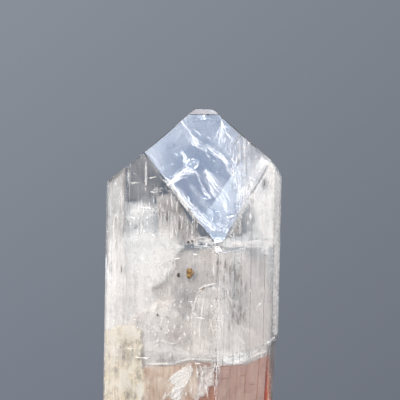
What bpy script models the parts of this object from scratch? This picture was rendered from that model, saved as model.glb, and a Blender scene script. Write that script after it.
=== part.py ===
"""A terminated danburite crystal, standing on the flat break at its root.

The prism is rhombic: four broad faces meet at sharp front and back corners, and two pairs of narrow faces
trim its left and right corners. A tall front face, a steep back face and two roof faces meet at a small flat
tip. The prism faces carry vertical growth striations and a few cross ledges, and conchoidal chips bite its
edges and its root.
Metres, +Z up along the prism. The origin is under the middle of the crystal, at the flat break.
"""

import math
import random
from dataclasses import dataclass

import bmesh
import bpy
from mathutils import Matrix, Vector

MM = 0.001

# Driving dimensions: the prism. Distances run from its axis to a face, in millimetres.
A_AXIS_TURN = 10.6  # degrees from +X to the crystal's a axis
BROAD_NORMAL = 47.43  # degrees from the a axis to the normal of a broad face
NARROW_NORMAL = 28.56  # degrees from the a axis to the normal of a narrow face
UNCUT_HEIGHT = 64.0  # prism before its termination is cut

# Growth striations and cross ledges on the prism faces
BROAD_STRIPS = 13
NARROW_STRIPS = 4
STRIATION_DEPTH = 0.11
LEDGE_STEP = 0.05
LEDGE_RISE = 0.18
LEDGE_CHANCE = 0.33
LEDGE_HEIGHTS = (4.6, 9.8, 14.1, 19.7, 30.2, 34.9, 41.3, 46.2)
GROWTH_SEED = 23

# The old break across the lower right edge, below which the crystal healed a little narrower
BREAK_HEIGHT = 25.2
BREAK_STEP = 0.28
BREAK_TAPER = 0.035
BREAK_FALL = 2.6  # how far the break dips from the right edge towards the front edge
BREAK_RUN = 6.0  # the width that it dips over

# Worn edges
TIP_WEAR = 0.05
EDGE_WEAR = 0.07


@dataclass(frozen=True)
class PrismFace:
    """A vertical face: the azimuth of its normal in degrees, its distance from the axis and its strips."""

    azimuth: float
    distance: float
    strips: int
    below_break: float = 0.0  # share of the break's step that this face takes


@dataclass(frozen=True)
class RoofFace:
    """A termination face: its normal's azimuth, its slope from level and its height over the axis."""

    azimuth: float
    slope: float
    height: float

    def normal(self):
        """The outward normal."""
        turn, tilt = math.radians(self.azimuth), math.radians(self.slope)
        return Vector((math.sin(tilt) * math.cos(turn), math.sin(tilt) * math.sin(turn), math.cos(tilt)))

    def point(self):
        """The point of the face's plane over the axis."""
        return Vector((0.0, 0.0, self.height * MM))


@dataclass(frozen=True)
class Chip:
    """A conchoidal chip: an ellipsoid's centre and half sizes in millimetres, and its turn about Z."""

    centre: tuple
    half: tuple
    turn: float


# Counter-clockwise from the broad face at the front right
PRISM = (
    PrismFace(A_AXIS_TURN - BROAD_NORMAL, 10.52, BROAD_STRIPS, 0.35),
    PrismFace(A_AXIS_TURN - NARROW_NORMAL, 11.56, NARROW_STRIPS, 1.0),
    PrismFace(A_AXIS_TURN + NARROW_NORMAL, 10.30, NARROW_STRIPS, 1.0),
    PrismFace(A_AXIS_TURN + BROAD_NORMAL, 7.95, BROAD_STRIPS),
    PrismFace(A_AXIS_TURN + 180 - BROAD_NORMAL, 10.35, BROAD_STRIPS),
    PrismFace(A_AXIS_TURN + 180 - NARROW_NORMAL, 11.53, NARROW_STRIPS),
    PrismFace(A_AXIS_TURN + 180 + NARROW_NORMAL, 10.26, NARROW_STRIPS),
    PrismFace(A_AXIS_TURN + 180 + BROAD_NORMAL, 8.77, BROAD_STRIPS),
)

FRONT = RoofFace(A_AXIS_TURN - 90, 55.7, 58.66)
BACK = RoofFace(98.0, 67.0, 59.00)
RIGHT_ROOF = RoofFace(A_AXIS_TURN, 42.2, 60.24)
LEFT_ROOF = RoofFace(177.2, 40.7, 58.06)
TIP = RoofFace(A_AXIS_TURN - 90, 25.7, 57.75)
BACK_RIGHT_TRIM = RoofFace(52.0, 58.0, 64.9)
BACK_LEFT_TRIM = RoofFace(144.0, 63.0, 68.4)
SHOULDER_TRIM = RoofFace(-6.0, 66.0, 76.2)
TERMINATION = (FRONT, BACK, RIGHT_ROOF, LEFT_ROOF, TIP, BACK_RIGHT_TRIM, BACK_LEFT_TRIM, SHOULDER_TRIM)
WORN_EDGES = (
    (FRONT, RIGHT_ROOF, EDGE_WEAR),
    (FRONT, LEFT_ROOF, EDGE_WEAR),
    (BACK, RIGHT_ROOF, EDGE_WEAR),
    (BACK, LEFT_ROOF, EDGE_WEAR),
    (FRONT, TIP, TIP_WEAR),
)

CHIPS = {
    "chip_under_front_face": Chip((4.4, -13.6, 39.7), (3.1, 1.75, 1.5), 12.0),
    "chip_front_edge": Chip((3.4, -13.3, 18.2), (1.6, 1.05, 2.6), 0.0),
    "chip_left_edge": Chip((-13.6, -0.4, 9.4), (1.7, 2.2, 3.0), 0.0),
    "chip_root_front": Chip((-2.6, -9.9, -1.0), (5.5, 2.6, 3.2), -32.5),
    "chip_root_left": Chip((-13.2, 1.0, -1.2), (2.6, 4.6, 4.0), 0.0),
    "chip_root_back": Chip((-4.6, 12.6, -0.8), (5.0, 2.9, 3.0), 0.0),
    "chip_root_right": Chip((12.3, 2.0, -1.6), (2.4, 5.0, 4.6), -8.0),
}
CHIP_DETAIL = 3


def clear_scene():
    """Remove every object of the scene."""
    for obj in list(bpy.data.objects):
        bpy.data.objects.remove(obj, do_unlink=True)


def crystal_material():
    """Clear, colourless crystal."""
    material = bpy.data.materials.new("clear_danburite")
    material.use_nodes = True
    shader = material.node_tree.nodes["Principled BSDF"]
    shader.inputs["Base Color"].default_value = (0.90, 0.92, 0.95, 1.0)
    shader.inputs["Roughness"].default_value = 0.04
    shader.inputs["Metallic"].default_value = 0.0
    shader.inputs["IOR"].default_value = 1.633
    shader.inputs["Transmission Weight"].default_value = 1.0
    return material


def outward(azimuth):
    """The level unit vector at an azimuth in degrees."""
    turn = math.radians(azimuth)
    return Vector((math.cos(turn), math.sin(turn)))


def crossing(azimuth_a, distance_a, azimuth_b, distance_b):
    """Where two vertical faces meet, seen from above."""
    a, b = outward(azimuth_a), outward(azimuth_b)
    spread = a.x * b.y - a.y * b.x
    x = (distance_a * b.y - distance_b * a.y) / spread
    y = (distance_b * a.x - distance_a * b.x) / spread
    return Vector((x, y))


def strip_bounds(rng, count):
    """Uneven bounds of a face's strips, as shares of its width."""
    widths = [rng.uniform(0.45, 1.6) for _ in range(count)]
    total = sum(widths)
    return [sum(widths[:i]) / total for i in range(count + 1)]


def strip_depths(rng, strips):
    """How deep each strip lies in each band between ledges. The outer strips keep the face's own plane."""
    table = []
    for strip in range(strips):
        outer = strip in (0, strips - 1)
        depth = 0.0 if outer else rng.uniform(0.0, STRIATION_DEPTH)
        bands = [depth]
        for _ in LEDGE_HEIGHTS:
            if not outer and rng.random() < LEDGE_CHANCE:
                depth = abs(depth + rng.choice((-LEDGE_STEP, LEDGE_STEP)))
            bands.append(depth)
        table.append(bands)
    return table


def ring_heights():
    """Every level of the prism: its ends, and the foot and head of each ledge and of the old break."""
    feet = LEDGE_HEIGHTS + (BREAK_HEIGHT,)
    return sorted((0.0, UNCUT_HEIGHT) + feet + tuple(height + LEDGE_RISE for height in feet))


def band_of(height):
    """The band between two ledges that a level belongs to."""
    return sum(height > ledge for ledge in LEDGE_HEIGHTS)


def set_back(face, height):
    """How far a face lies behind its own plane at a height, below the old break."""
    if height > BREAK_HEIGHT:
        return 0.0
    return face.below_break * (BREAK_STEP + BREAK_TAPER * (BREAK_HEIGHT - height))


def corners_at(height):
    """The corners of the prism at a height: corner i is where face i begins."""
    lines = [(face.azimuth, face.distance - set_back(face, height)) for face in PRISM]
    return [crossing(*lines[i - 1], *lines[i]) for i in range(len(lines))]


def to_origin():
    """The move that brings the middle of the prism's box, seen from above, over the origin."""
    corners = corners_at(UNCUT_HEIGHT)
    across = [corner.x for corner in corners]
    deep = [corner.y for corner in corners]
    middle = Vector((min(across) + max(across), min(deep) + max(deep), 0.0)) / 2
    return Matrix.Translation(-middle * MM)


def dip(height, x):
    """How far a point of the old break lies under the break's height at the right edge."""
    if not BREAK_HEIGHT <= height <= BREAK_HEIGHT + LEDGE_RISE:
        return 0.0
    right_edge = max(corner.x for corner in corners_at(UNCUT_HEIGHT))
    return BREAK_FALL * min(1.0, (right_edge - x) / BREAK_RUN)


def ring(height, bounds, depths):
    """The outline of the prism at one level, with a riser between two strips."""
    band = band_of(height)
    corners = corners_at(height)
    points = []
    for i, face in enumerate(PRISM):
        start, end = corners[i], corners[(i + 1) % len(PRISM)]
        inward = -outward(face.azimuth)
        for strip in range(face.strips):
            depth = inward * depths[i][strip][band]
            points.append(start.lerp(end, bounds[i][strip]) + depth)
            if strip < face.strips - 1:
                points.append(start.lerp(end, bounds[i][strip + 1]) + depth)
    return [(point.x * MM, point.y * MM, (height - dip(height, point.x)) * MM) for point in points]


def prism_mesh():
    """The striated prism as a closed bmesh."""
    rng = random.Random(GROWTH_SEED)
    bounds = [strip_bounds(rng, face.strips) for face in PRISM]
    depths = [strip_depths(rng, face.strips) for face in PRISM]
    mesh = bmesh.new()
    rings = [[mesh.verts.new(point) for point in ring(height, bounds, depths)] for height in ring_heights()]
    count = len(rings[0])
    for low, high in zip(rings, rings[1:]):
        for i in range(count):
            j = (i + 1) % count
            mesh.faces.new((low[i], low[j], high[j], high[i]))
    mesh.faces.new(list(reversed(rings[0])))
    mesh.faces.new(rings[-1])
    return mesh


def cut(mesh, point, normal):
    """Take away what lies outside a plane and close the cut with one flat face."""
    geometry = mesh.verts[:] + mesh.edges[:] + mesh.faces[:]
    made = bmesh.ops.bisect_plane(
        mesh, geom=geometry, dist=1e-7, plane_co=point, plane_no=normal, clear_outer=True
    )
    rim = [item for item in made["geom_cut"] if isinstance(item, bmesh.types.BMEdge)]
    if rim:
        bmesh.ops.contextual_create(mesh, geom=rim)


def wear_edge(mesh, first, second, width):
    """Trim the edge between two termination faces by a narrow flat."""
    a, b = first.normal(), second.normal()
    middle = (a + b).normalized()
    line = a.cross(b)
    reach_a, reach_b = a.dot(first.point()), b.dot(second.point())
    on_edge = (b.cross(line) * reach_a + line.cross(a) * reach_b) / line.length_squared
    cut(mesh, on_edge - middle * width * MM, middle)


def chip_cutter(name, chip):
    """An ellipsoid that a Boolean takes away."""
    mesh = bmesh.new()
    bmesh.ops.create_icosphere(mesh, subdivisions=CHIP_DETAIL, radius=1.0)
    size = Matrix.Diagonal((chip.half[0] * MM, chip.half[1] * MM, chip.half[2] * MM, 1.0))
    place = to_origin() @ Matrix.Translation(Vector(chip.centre) * MM)
    mesh.transform(place @ Matrix.Rotation(math.radians(chip.turn), 4, "Z") @ size)
    data = bpy.data.meshes.new(name)
    mesh.to_mesh(data)
    mesh.free()
    cutter = bpy.data.objects.new(name, data)
    bpy.context.scene.collection.objects.link(cutter)
    cutter.hide_render = True
    cutter.display_type = "WIRE"
    return cutter


def chip_away(crystal, name, chip):
    """Take one chip off the crystal."""
    modifier = crystal.modifiers.new(name, "BOOLEAN")
    modifier.operation = "DIFFERENCE"
    modifier.solver = "EXACT"
    modifier.object = chip_cutter(name, chip)


def build_crystal():
    """The whole crystal: prism, termination, worn edges and chips."""
    mesh = prism_mesh()
    for face in TERMINATION:
        cut(mesh, face.point(), face.normal())
    for first, second, width in WORN_EDGES:
        wear_edge(mesh, first, second, width)
    bmesh.ops.recalc_face_normals(mesh, faces=mesh.faces[:])
    mesh.transform(to_origin())
    data = bpy.data.meshes.new("crystal")
    mesh.to_mesh(data)
    mesh.free()
    data.materials.append(crystal_material())
    crystal = bpy.data.objects.new("crystal", data)
    bpy.context.scene.collection.objects.link(crystal)
    for name, chip in CHIPS.items():
        chip_away(crystal, name, chip)
    return crystal


def main():
    """Build the crystal in an empty scene."""
    clear_scene()
    build_crystal()


main()
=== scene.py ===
"""A clear danburite crystal with milky veils and healed cracks inside, on a small pale studio floor."""

import logging
import math
import random
from dataclasses import dataclass, field, replace
from enum import Enum

import bmesh
import bpy
import numpy as np
from bpy.types import Material, Node, NodeSocket, NodeTree, Object
from mathutils import Matrix, Vector, geometry, noise

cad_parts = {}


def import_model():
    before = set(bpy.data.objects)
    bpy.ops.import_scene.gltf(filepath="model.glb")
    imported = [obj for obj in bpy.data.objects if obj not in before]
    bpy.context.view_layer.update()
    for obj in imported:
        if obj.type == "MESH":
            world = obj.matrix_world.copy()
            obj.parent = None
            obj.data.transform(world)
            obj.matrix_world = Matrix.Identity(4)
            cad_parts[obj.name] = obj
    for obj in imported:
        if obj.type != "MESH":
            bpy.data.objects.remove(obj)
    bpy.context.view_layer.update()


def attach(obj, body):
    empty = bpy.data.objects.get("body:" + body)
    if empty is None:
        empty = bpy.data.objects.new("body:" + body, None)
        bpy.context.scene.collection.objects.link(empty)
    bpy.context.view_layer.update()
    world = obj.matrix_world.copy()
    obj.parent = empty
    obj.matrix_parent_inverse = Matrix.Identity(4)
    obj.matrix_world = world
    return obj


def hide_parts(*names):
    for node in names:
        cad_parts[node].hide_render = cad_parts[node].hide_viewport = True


MM = 0.001
MM_A_METRE = 1000.0
REFRACTION = 1.633
TINY = 1e-12
# Blender takes the offsets of its vector noise from the clock unless they are seeded
NOISE_SEED = 7
LOG = logging.getLogger("danburite")

Colour = tuple[float, float, float, float]
Spot = tuple[float, float]
MilkySpot = tuple[float, float, float]
Sheet = tuple[np.ndarray, list, np.ndarray]


def rgb(red: float, green: float, blue: float) -> Colour:
    """An opaque colour."""
    return (red, green, blue, 1.0)


# Node writing


class Value:
    """A socket that reads like a number: the operators add Math nodes."""

    def __init__(self, tree: "Tree", socket: NodeSocket) -> None:
        """Wrap one output socket.

        Args:
            tree: the tree that holds it.
            socket: the output socket.
        """
        self.tree = tree
        self.socket = socket

    def _math(self, operation: str, *operands: object, clamp: bool = False) -> "Value":
        """Add a Math node.

        Args:
            operation: the node's operation.
            operands: numbers or Values for its inputs, in order.
            clamp: whether the result is kept from 0 to 1.

        Returns:
            The node's result.
        """
        settings = {"operation": operation, "use_clamp": clamp}
        return self.tree.value(self.tree.node("ShaderNodeMath", settings, dict(enumerate(operands))))

    def __add__(self, other: object) -> "Value":
        """Sum."""
        return self._math("ADD", self, other)

    def __radd__(self, other: object) -> "Value":
        """Sum, with the number first."""
        return self._math("ADD", other, self)

    def __sub__(self, other: object) -> "Value":
        """Difference."""
        return self._math("SUBTRACT", self, other)

    def __rsub__(self, other: object) -> "Value":
        """Difference, with the number first."""
        return self._math("SUBTRACT", other, self)

    def __mul__(self, other: object) -> "Value":
        """Product."""
        return self._math("MULTIPLY", self, other)

    def __rmul__(self, other: object) -> "Value":
        """Product, with the number first."""
        return self._math("MULTIPLY", other, self)

    def __pow__(self, other: object) -> "Value":
        """Power."""
        return self._math("POWER", self, other)

    def __rpow__(self, other: object) -> "Value":
        """Power, with the number first."""
        return self._math("POWER", other, self)

    def absolute(self) -> "Value":
        """Its size without its sign."""
        return self._math("ABSOLUTE", self)

    def clamped(self) -> "Value":
        """This, kept from 0 to 1."""
        return self._math("ADD", self, 0.0, clamp=True)

    def ramped(self, low: float, high: float) -> "Value":
        """A smooth step.

        Args:
            low: where it starts to rise from 0.
            high: where it reaches 1.

        Returns:
            The step.
        """
        smooth = {"interpolation_type": "SMOOTHSTEP"}
        return self.tree.value(
            self.tree.node("ShaderNodeMapRange", smooth, Value=self, From_Min=low, From_Max=high)
        )


class Tree:
    """A node tree and the calls that fill it."""

    def __init__(self, held: NodeTree) -> None:
        """Start with no nodes.

        Args:
            held: the tree to fill.
        """
        self.held = held
        held.nodes.clear()

    def node(
        self, kind: str, settings: dict | None = None, slots: dict | None = None, **named: object
    ) -> Node:
        """Add one node.

        Args:
            kind: the node's type.
            settings: its own settings, set first.
            slots: values or links of inputs, by their numbers or names.
            named: values or links of inputs, by their names with _ for a space.

        Returns:
            The node.
        """
        made = self.held.nodes.new(kind)
        for key, value in (settings or {}).items():
            setattr(made, key, value)
        for key, value in (slots or {}).items():
            self.feed(made.inputs[key], value)
        for key, value in named.items():
            self.feed(made.inputs[key.replace("_", " ")], value)
        return made

    def feed(self, slot: NodeSocket, value: object) -> None:
        """Give an input a link or a plain value.

        Args:
            slot: the input.
            value: a Value, an output, a node for its first output, or a plain value.
        """
        if isinstance(value, Value):
            value = value.socket
        elif isinstance(value, Node):
            value = value.outputs[0]
        if isinstance(value, NodeSocket):
            self.held.links.new(value, slot)
        else:
            slot.default_value = value

    def value(self, source: Node | NodeSocket) -> Value:
        """Wrap an output, or a node's first output, for arithmetic."""
        return Value(self, source.outputs[0] if isinstance(source, Node) else source)

    def blend(self, share: object, first: object, second: object) -> NodeSocket:
        """Mix two colours.

        Args:
            share: how much of the second.
            first: a colour or a link.
            second: a colour or a link.

        Returns:
            The mixed colour.
        """
        made = self.node("ShaderNodeMix", {"data_type": "RGBA"}, {0: share, 6: first, 7: second})
        return made.outputs[2]


class Look(Tree):
    """A material's node tree."""

    def __init__(self, name: str) -> None:
        """Start an empty material.

        Args:
            name: the material's name.
        """
        self.material = bpy.data.materials.new(name)
        self.material.use_nodes = True
        super().__init__(self.material.node_tree)

    def place(self, stretch: tuple[float, float, float] = (1.0, 1.0, 1.0)) -> NodeSocket:
        """Object coordinates in millimetres.

        Args:
            stretch: extra scale along each axis.

        Returns:
            The vector output.
        """
        where = self.node("ShaderNodeTexCoord").outputs["Object"]
        size = tuple(MM_A_METRE * part for part in stretch)
        return self.node("ShaderNodeMapping", Vector=where, Scale=size).outputs["Vector"]

    def clouds(
        self, where: NodeSocket, scale: float, detail: float = 3.0, warp: float = 0.0
    ) -> Value:
        """Soft noise.

        Args:
            where: the vector at which it is read.
            scale: how fine it is.
            detail: octaves.
            warp: distortion.

        Returns:
            Its value, about 0.5 on average.
        """
        made = self.node("ShaderNodeTexNoise", Vector=where, Scale=scale, Detail=detail, Distortion=warp)
        return self.value(made.outputs["Fac"])

    def marked(self, name: str) -> Value:
        """A piece's own vertex attribute."""
        return self.value(self.node("ShaderNodeAttribute", {"attribute_name": name}).outputs["Fac"])

    def relief(self, height: Value, strength: float, deep: float) -> NodeSocket:
        """Small hills and hollows.

        Args:
            height: their height.
            strength: how much of them shows.
            deep: the depth of a height of 1, in millimetres.

        Returns:
            The bumped normal.
        """
        made = self.node("ShaderNodeBump", Strength=strength, Distance=deep * MM, Height=height)
        return made.outputs["Normal"]

    def mixed(self, share: object, first: Node, second: Node) -> Node:
        """Mix two shaders.

        Args:
            share: how much of the second.
            first: a shader node.
            second: a shader node.

        Returns:
            The Mix Shader node.
        """
        return self.node("ShaderNodeMixShader", slots={0: share, 1: first, 2: second})

    def lit_through(self, body: Node, share: float) -> Node:
        """Let light pass a clear body, in place of a glass shadow.

        Args:
            body: its shader.
            share: how much of the light passes.

        Returns:
            The shader.
        """
        passing = self.node("ShaderNodeBsdfTransparent", Color=rgb(share, share, share))
        return self.mixed(self.node("ShaderNodeLightPath").outputs["Is Shadow Ray"], body, passing)

    def finish(self, shader: Node, inside: Node | None = None) -> Material:
        """Connect the output.

        Args:
            shader: the surface shader.
            inside: a volume shader.

        Returns:
            The material.
        """
        out = self.node("ShaderNodeOutputMaterial", Surface=shader)
        if inside is not None:
            self.feed(out.inputs["Volume"], inside)
        return self.material


# Finishes


@dataclass(frozen=True)
class ClearCrystal:
    """The crystal itself: see-through, with fine growth relief on its faces."""

    name: str = "clear_danburite"
    shadow: float = 0.94
    tint: Colour = rgb(0.985, 0.99, 0.985)
    absorbed: Colour = rgb(0.81, 0.84, 0.86)
    density: float = 85.0
    streak_size: float = 3.2
    streak_stretch: float = 0.06
    hill_size: float = 0.8
    relief: float = 0.10
    relief_depth: float = 0.03
    dullest: float = 0.05

    def build(self) -> Material:
        """Make the material.

        Returns:
            The material.
        """
        look = Look(self.name)
        streaks = look.clouds(look.place((1.0, 1.0, self.streak_stretch)), self.streak_size, 4.0)
        hills = look.clouds(look.place(), self.hill_size, 2.0)
        body = look.node(
            "ShaderNodeBsdfPrincipled",
            Base_Color=self.tint,
            Roughness=streaks.ramped(0.45, 0.8) * self.dullest,
            IOR=REFRACTION,
            Transmission_Weight=1.0,
            Normal=look.relief(streaks * 0.7 + hills * 0.5, self.relief, self.relief_depth),
        )
        inside = look.node("ShaderNodeVolumeAbsorption", Color=self.absorbed, Density=self.density)
        return look.finish(look.lit_through(body, self.shadow), inside)


@dataclass(frozen=True)
class Haze:
    """Films of tiny healed cavities that scatter light; a dark grey film is painted shade. The piece's
    attribute says how milky each point is.

    The cover is what a fully milky point hides. Streaks run upright, filaments are sharp ragged lines. The
    gains set each noise's contrast against the others.
    """

    name: str
    colour: Colour
    second: Colour
    cover: float = 0.9
    streaks: float = 0.5
    filaments: float = 0.0
    grain: float = 0.3
    cloud: float = 0.5
    upright: float = 0.12
    octaves: float = 2.5
    passing: float = 0.2
    squat: float = 0.6
    streak_gain: float = 2.6
    puff_gain: float = 4.0
    speck_gain: float = 2.0
    mottle_gain: float = 2.4
    line_sharpness: float = 7.0
    line_gain: float = 1.5

    def _density(self, look: Look, puffs: Value) -> Value:
        """How much each point hides.

        Args:
            look: the material.
            puffs: its broadest noise.

        Returns:
            The density.
        """
        milk = look.marked("milk")
        streak = look.clouds(look.place((1.0, 1.0, self.upright)), 2.1, self.octaves, 0.3)
        mottle = look.clouds(look.place((1.0, 1.0, self.squat)), 1.1, self.octaves, 0.8)
        specks = look.clouds(look.place(), 5.5, 2.0)
        broad = (streak - 0.5) * (self.streak_gain * self.streaks)
        broad = broad + (puffs - 0.5) * (self.puff_gain * self.cloud)
        fine = (specks - 0.5) * (self.speck_gain * self.grain)
        fine = fine + (mottle - 0.5) * (self.mottle_gain * self.cloud)
        density = milk * (1.0 + broad) + milk * fine
        if self.filaments == 0.0:
            return density
        ragged = look.clouds(look.place((1.0, 1.0, self.squat)), 1.5, 6.0, 1.6)
        ridge = 1.0 - ((ragged - 0.5) * self.line_sharpness).absolute()
        lines = milk * ridge.clamped() ** 2.0 * (self.line_gain * self.filaments)
        return density * (1.0 - self.filaments) + lines

    def build(self) -> Material:
        """Make the material.

        Returns:
            The material.
        """
        look = Look(self.name)
        puffs = look.clouds(look.place(), 0.42, 2.5, 0.5)
        cover = (self._density(look, puffs) * self.cover).clamped()
        colour = look.blend(puffs.ramped(0.35, 0.7), self.colour, self.second)
        matt = {"Base Color": colour, "Roughness": 1.0, "Specular IOR Level": 0.0}
        lit = look.mixed(
            self.passing,
            look.node("ShaderNodeBsdfPrincipled", None, matt),
            look.node("ShaderNodeBsdfTranslucent", Color=self.second),
        )
        return look.finish(look.mixed(cover, look.node("ShaderNodeBsdfTransparent"), lit))


@dataclass(frozen=True)
class GasGap:
    """The thin gap of an open crack, which mirrors light at a slant."""

    name: str = "crack_gap"
    shadow: float = 0.93
    relief: float = 0.35
    relief_depth: float = 0.1
    roughness: float = 0.02

    def build(self) -> Material:
        """Make the material.

        Returns:
            The material.
        """
        look = Look(self.name)
        waves = look.clouds(look.place(), 1.1, 3.0, 0.6)
        body = look.node(
            "ShaderNodeBsdfPrincipled",
            Base_Color=rgb(1.0, 1.0, 1.0),
            Roughness=self.roughness,
            IOR=1.0 / REFRACTION,
            Transmission_Weight=1.0,
            Normal=look.relief(waves, self.relief, self.relief_depth),
        )
        return look.finish(look.lit_through(body, self.shadow))


@dataclass(frozen=True)
class Matt:
    """An opaque finish of two colours in spots, with a little relief where it has any."""

    name: str
    colour: Colour
    second: Colour
    roughness: float = 0.45
    spot_size: float = 2.6
    detail: float = 4.0
    warp: float = 0.0
    spots: Spot | None = (0.42, 0.6)
    relief: float = 0.0
    relief_depth: float = 0.1

    def build(self) -> Material:
        """Make the material.

        Returns:
            The material.
        """
        look = Look(self.name)
        mottle = look.clouds(look.place(), self.spot_size, self.detail, self.warp)
        share = mottle.ramped(*self.spots) if self.spots else mottle
        shade = look.blend(share, self.colour, self.second)
        body = look.node("ShaderNodeBsdfPrincipled", Base_Color=shade, Roughness=self.roughness)
        if self.relief > 0.0:
            look.feed(body.inputs["Normal"], look.relief(mottle, self.relief, self.relief_depth))
        return look.finish(body)


BRIGHT_WALL = Matt(
    "fleck_white", rgb(0.93, 0.93, 0.93), rgb(0.837, 0.837, 0.837), 0.35, 0.9, 2.0, 0.0, (0.4, 0.6)
)
BROWN_GRAIN = Matt("brown_grain", rgb(0.30, 0.18, 0.05), rgb(0.10, 0.045, 0.02), warp=0.4, relief=0.6)
DARK_GRAIN = Matt("dark_grain", rgb(0.03, 0.025, 0.02), rgb(0.08, 0.06, 0.05), 0.3, warp=0.4, relief=0.6)
PALE_BOARD = Matt(
    "pale_board", rgb(0.34, 0.34, 0.335), rgb(0.3162, 0.3162, 0.31155), 0.75, 0.12, 4.0, 0.0, None
)


# The crystal's form


@dataclass(frozen=True)
class PrismFace:
    """A vertical face: its normal's azimuth, its distance from the axis and its share of the break's step."""

    azimuth: float
    distance: float
    below_break: float = 0.0

    def normal(self) -> Vector:
        """The outward normal.

        Returns:
            A unit vector.
        """
        turn = math.radians(self.azimuth)
        return Vector((math.cos(turn), math.sin(turn), 0.0))


@dataclass(frozen=True)
class RoofFace:
    """A termination face: its normal's azimuth, its slope from level and its height over the axis."""

    azimuth: float
    slope: float
    height: float

    def normal(self) -> Vector:
        """The outward normal.

        Returns:
            A unit vector.
        """
        turn = math.radians(self.azimuth)
        tilt = math.radians(self.slope)
        return Vector((math.sin(tilt) * math.cos(turn), math.sin(tilt) * math.sin(turn), math.cos(tilt)))

    def point(self) -> Vector:
        """The point of the face's plane over the axis, in millimetres."""
        return Vector((0.0, 0.0, self.height))


# The turn of the crystal's a axis, and the angles from it to the normals of the broad and narrow faces
A_TURN = 10.6
BROAD = 47.43
NARROW = 28.56
HALF_TURN = 180.0
QUARTER_TURN = 90.0


@dataclass(frozen=True)
class Habit:
    """The outer form that the skin and everything inside share. Millimetres, in the crystal's own axes."""

    prism: tuple[PrismFace, ...] = (
        PrismFace(A_TURN - BROAD, 10.52, 0.35), PrismFace(A_TURN - NARROW, 11.56, 1.0),
        PrismFace(A_TURN + NARROW, 10.30, 1.0), PrismFace(A_TURN + BROAD, 7.95),
        PrismFace(A_TURN + HALF_TURN - BROAD, 10.35), PrismFace(A_TURN + HALF_TURN - NARROW, 11.53),
        PrismFace(A_TURN + HALF_TURN + NARROW, 10.26), PrismFace(A_TURN + HALF_TURN + BROAD, 8.77),
    )
    front: RoofFace = RoofFace(A_TURN - QUARTER_TURN, 55.7, 58.66)
    back: RoofFace = RoofFace(98.0, 67.0, 59.00)
    right_roof: RoofFace = RoofFace(A_TURN, 42.2, 60.24)
    left_roof: RoofFace = RoofFace(177.2, 40.7, 58.06)
    tip: RoofFace = RoofFace(A_TURN - QUARTER_TURN, 25.7, 57.75)
    trims: tuple[RoofFace, ...] = (
        RoofFace(52.0, 58.0, 64.9), RoofFace(144.0, 63.0, 68.4), RoofFace(-6.0, 66.0, 76.2),
    )
    uncut_height: float = 64.0

    def roofs(self) -> tuple[RoofFace, ...]:
        """Every termination face, in the order in which they cut the prism."""
        return (self.front, self.back, self.right_roof, self.left_roof, self.tip, *self.trims)

    def crossing(self, first: tuple[float, float], second: tuple[float, float]) -> Vector:
        """Where two vertical faces meet, seen from above.

        Args:
            first: azimuth and distance of one face.
            second: azimuth and distance of the other.

        Returns:
            The corner.
        """
        a = PrismFace(*first).normal()
        b = PrismFace(*second).normal()
        spread = a.x * b.y - a.y * b.x
        x = (first[1] * b.y - second[1] * a.y) / spread
        y = (second[1] * a.x - first[1] * b.x) / spread
        return Vector((x, y))

    def corners(self, set_back: float = 0.0) -> list[Vector]:
        """The corners of the prism, where corner i is where face i begins.

        Args:
            set_back: how far the faces that the old break narrowed lie behind their planes.

        Returns:
            The corners.
        """
        lines = [(face.azimuth, face.distance - set_back * face.below_break) for face in self.prism]
        return [self.crossing(lines[i - 1], lines[i]) for i in range(len(lines))]

    def middle(self) -> Vector:
        """The middle of the prism's box seen from above, which stands over the part's origin.

        Returns:
            The middle, in the crystal's own axes.
        """
        across = [corner.x for corner in self.corners()]
        deep = [corner.y for corner in self.corners()]
        return Vector((min(across) + max(across), min(deep) + max(deep), 0.0)) / 2

    def planes(self) -> list[tuple[Vector, float]]:
        """Every outer face in the part's frame.

        Returns:
            The outward normal and the distance from the origin of each, in millimetres.
        """
        shift = self.middle()
        found = [(face.normal(), face.distance - face.normal().dot(shift)) for face in self.prism]
        for roof in self.roofs():
            found.append((roof.normal(), roof.normal().dot(roof.point() - shift)))
        return found


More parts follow.
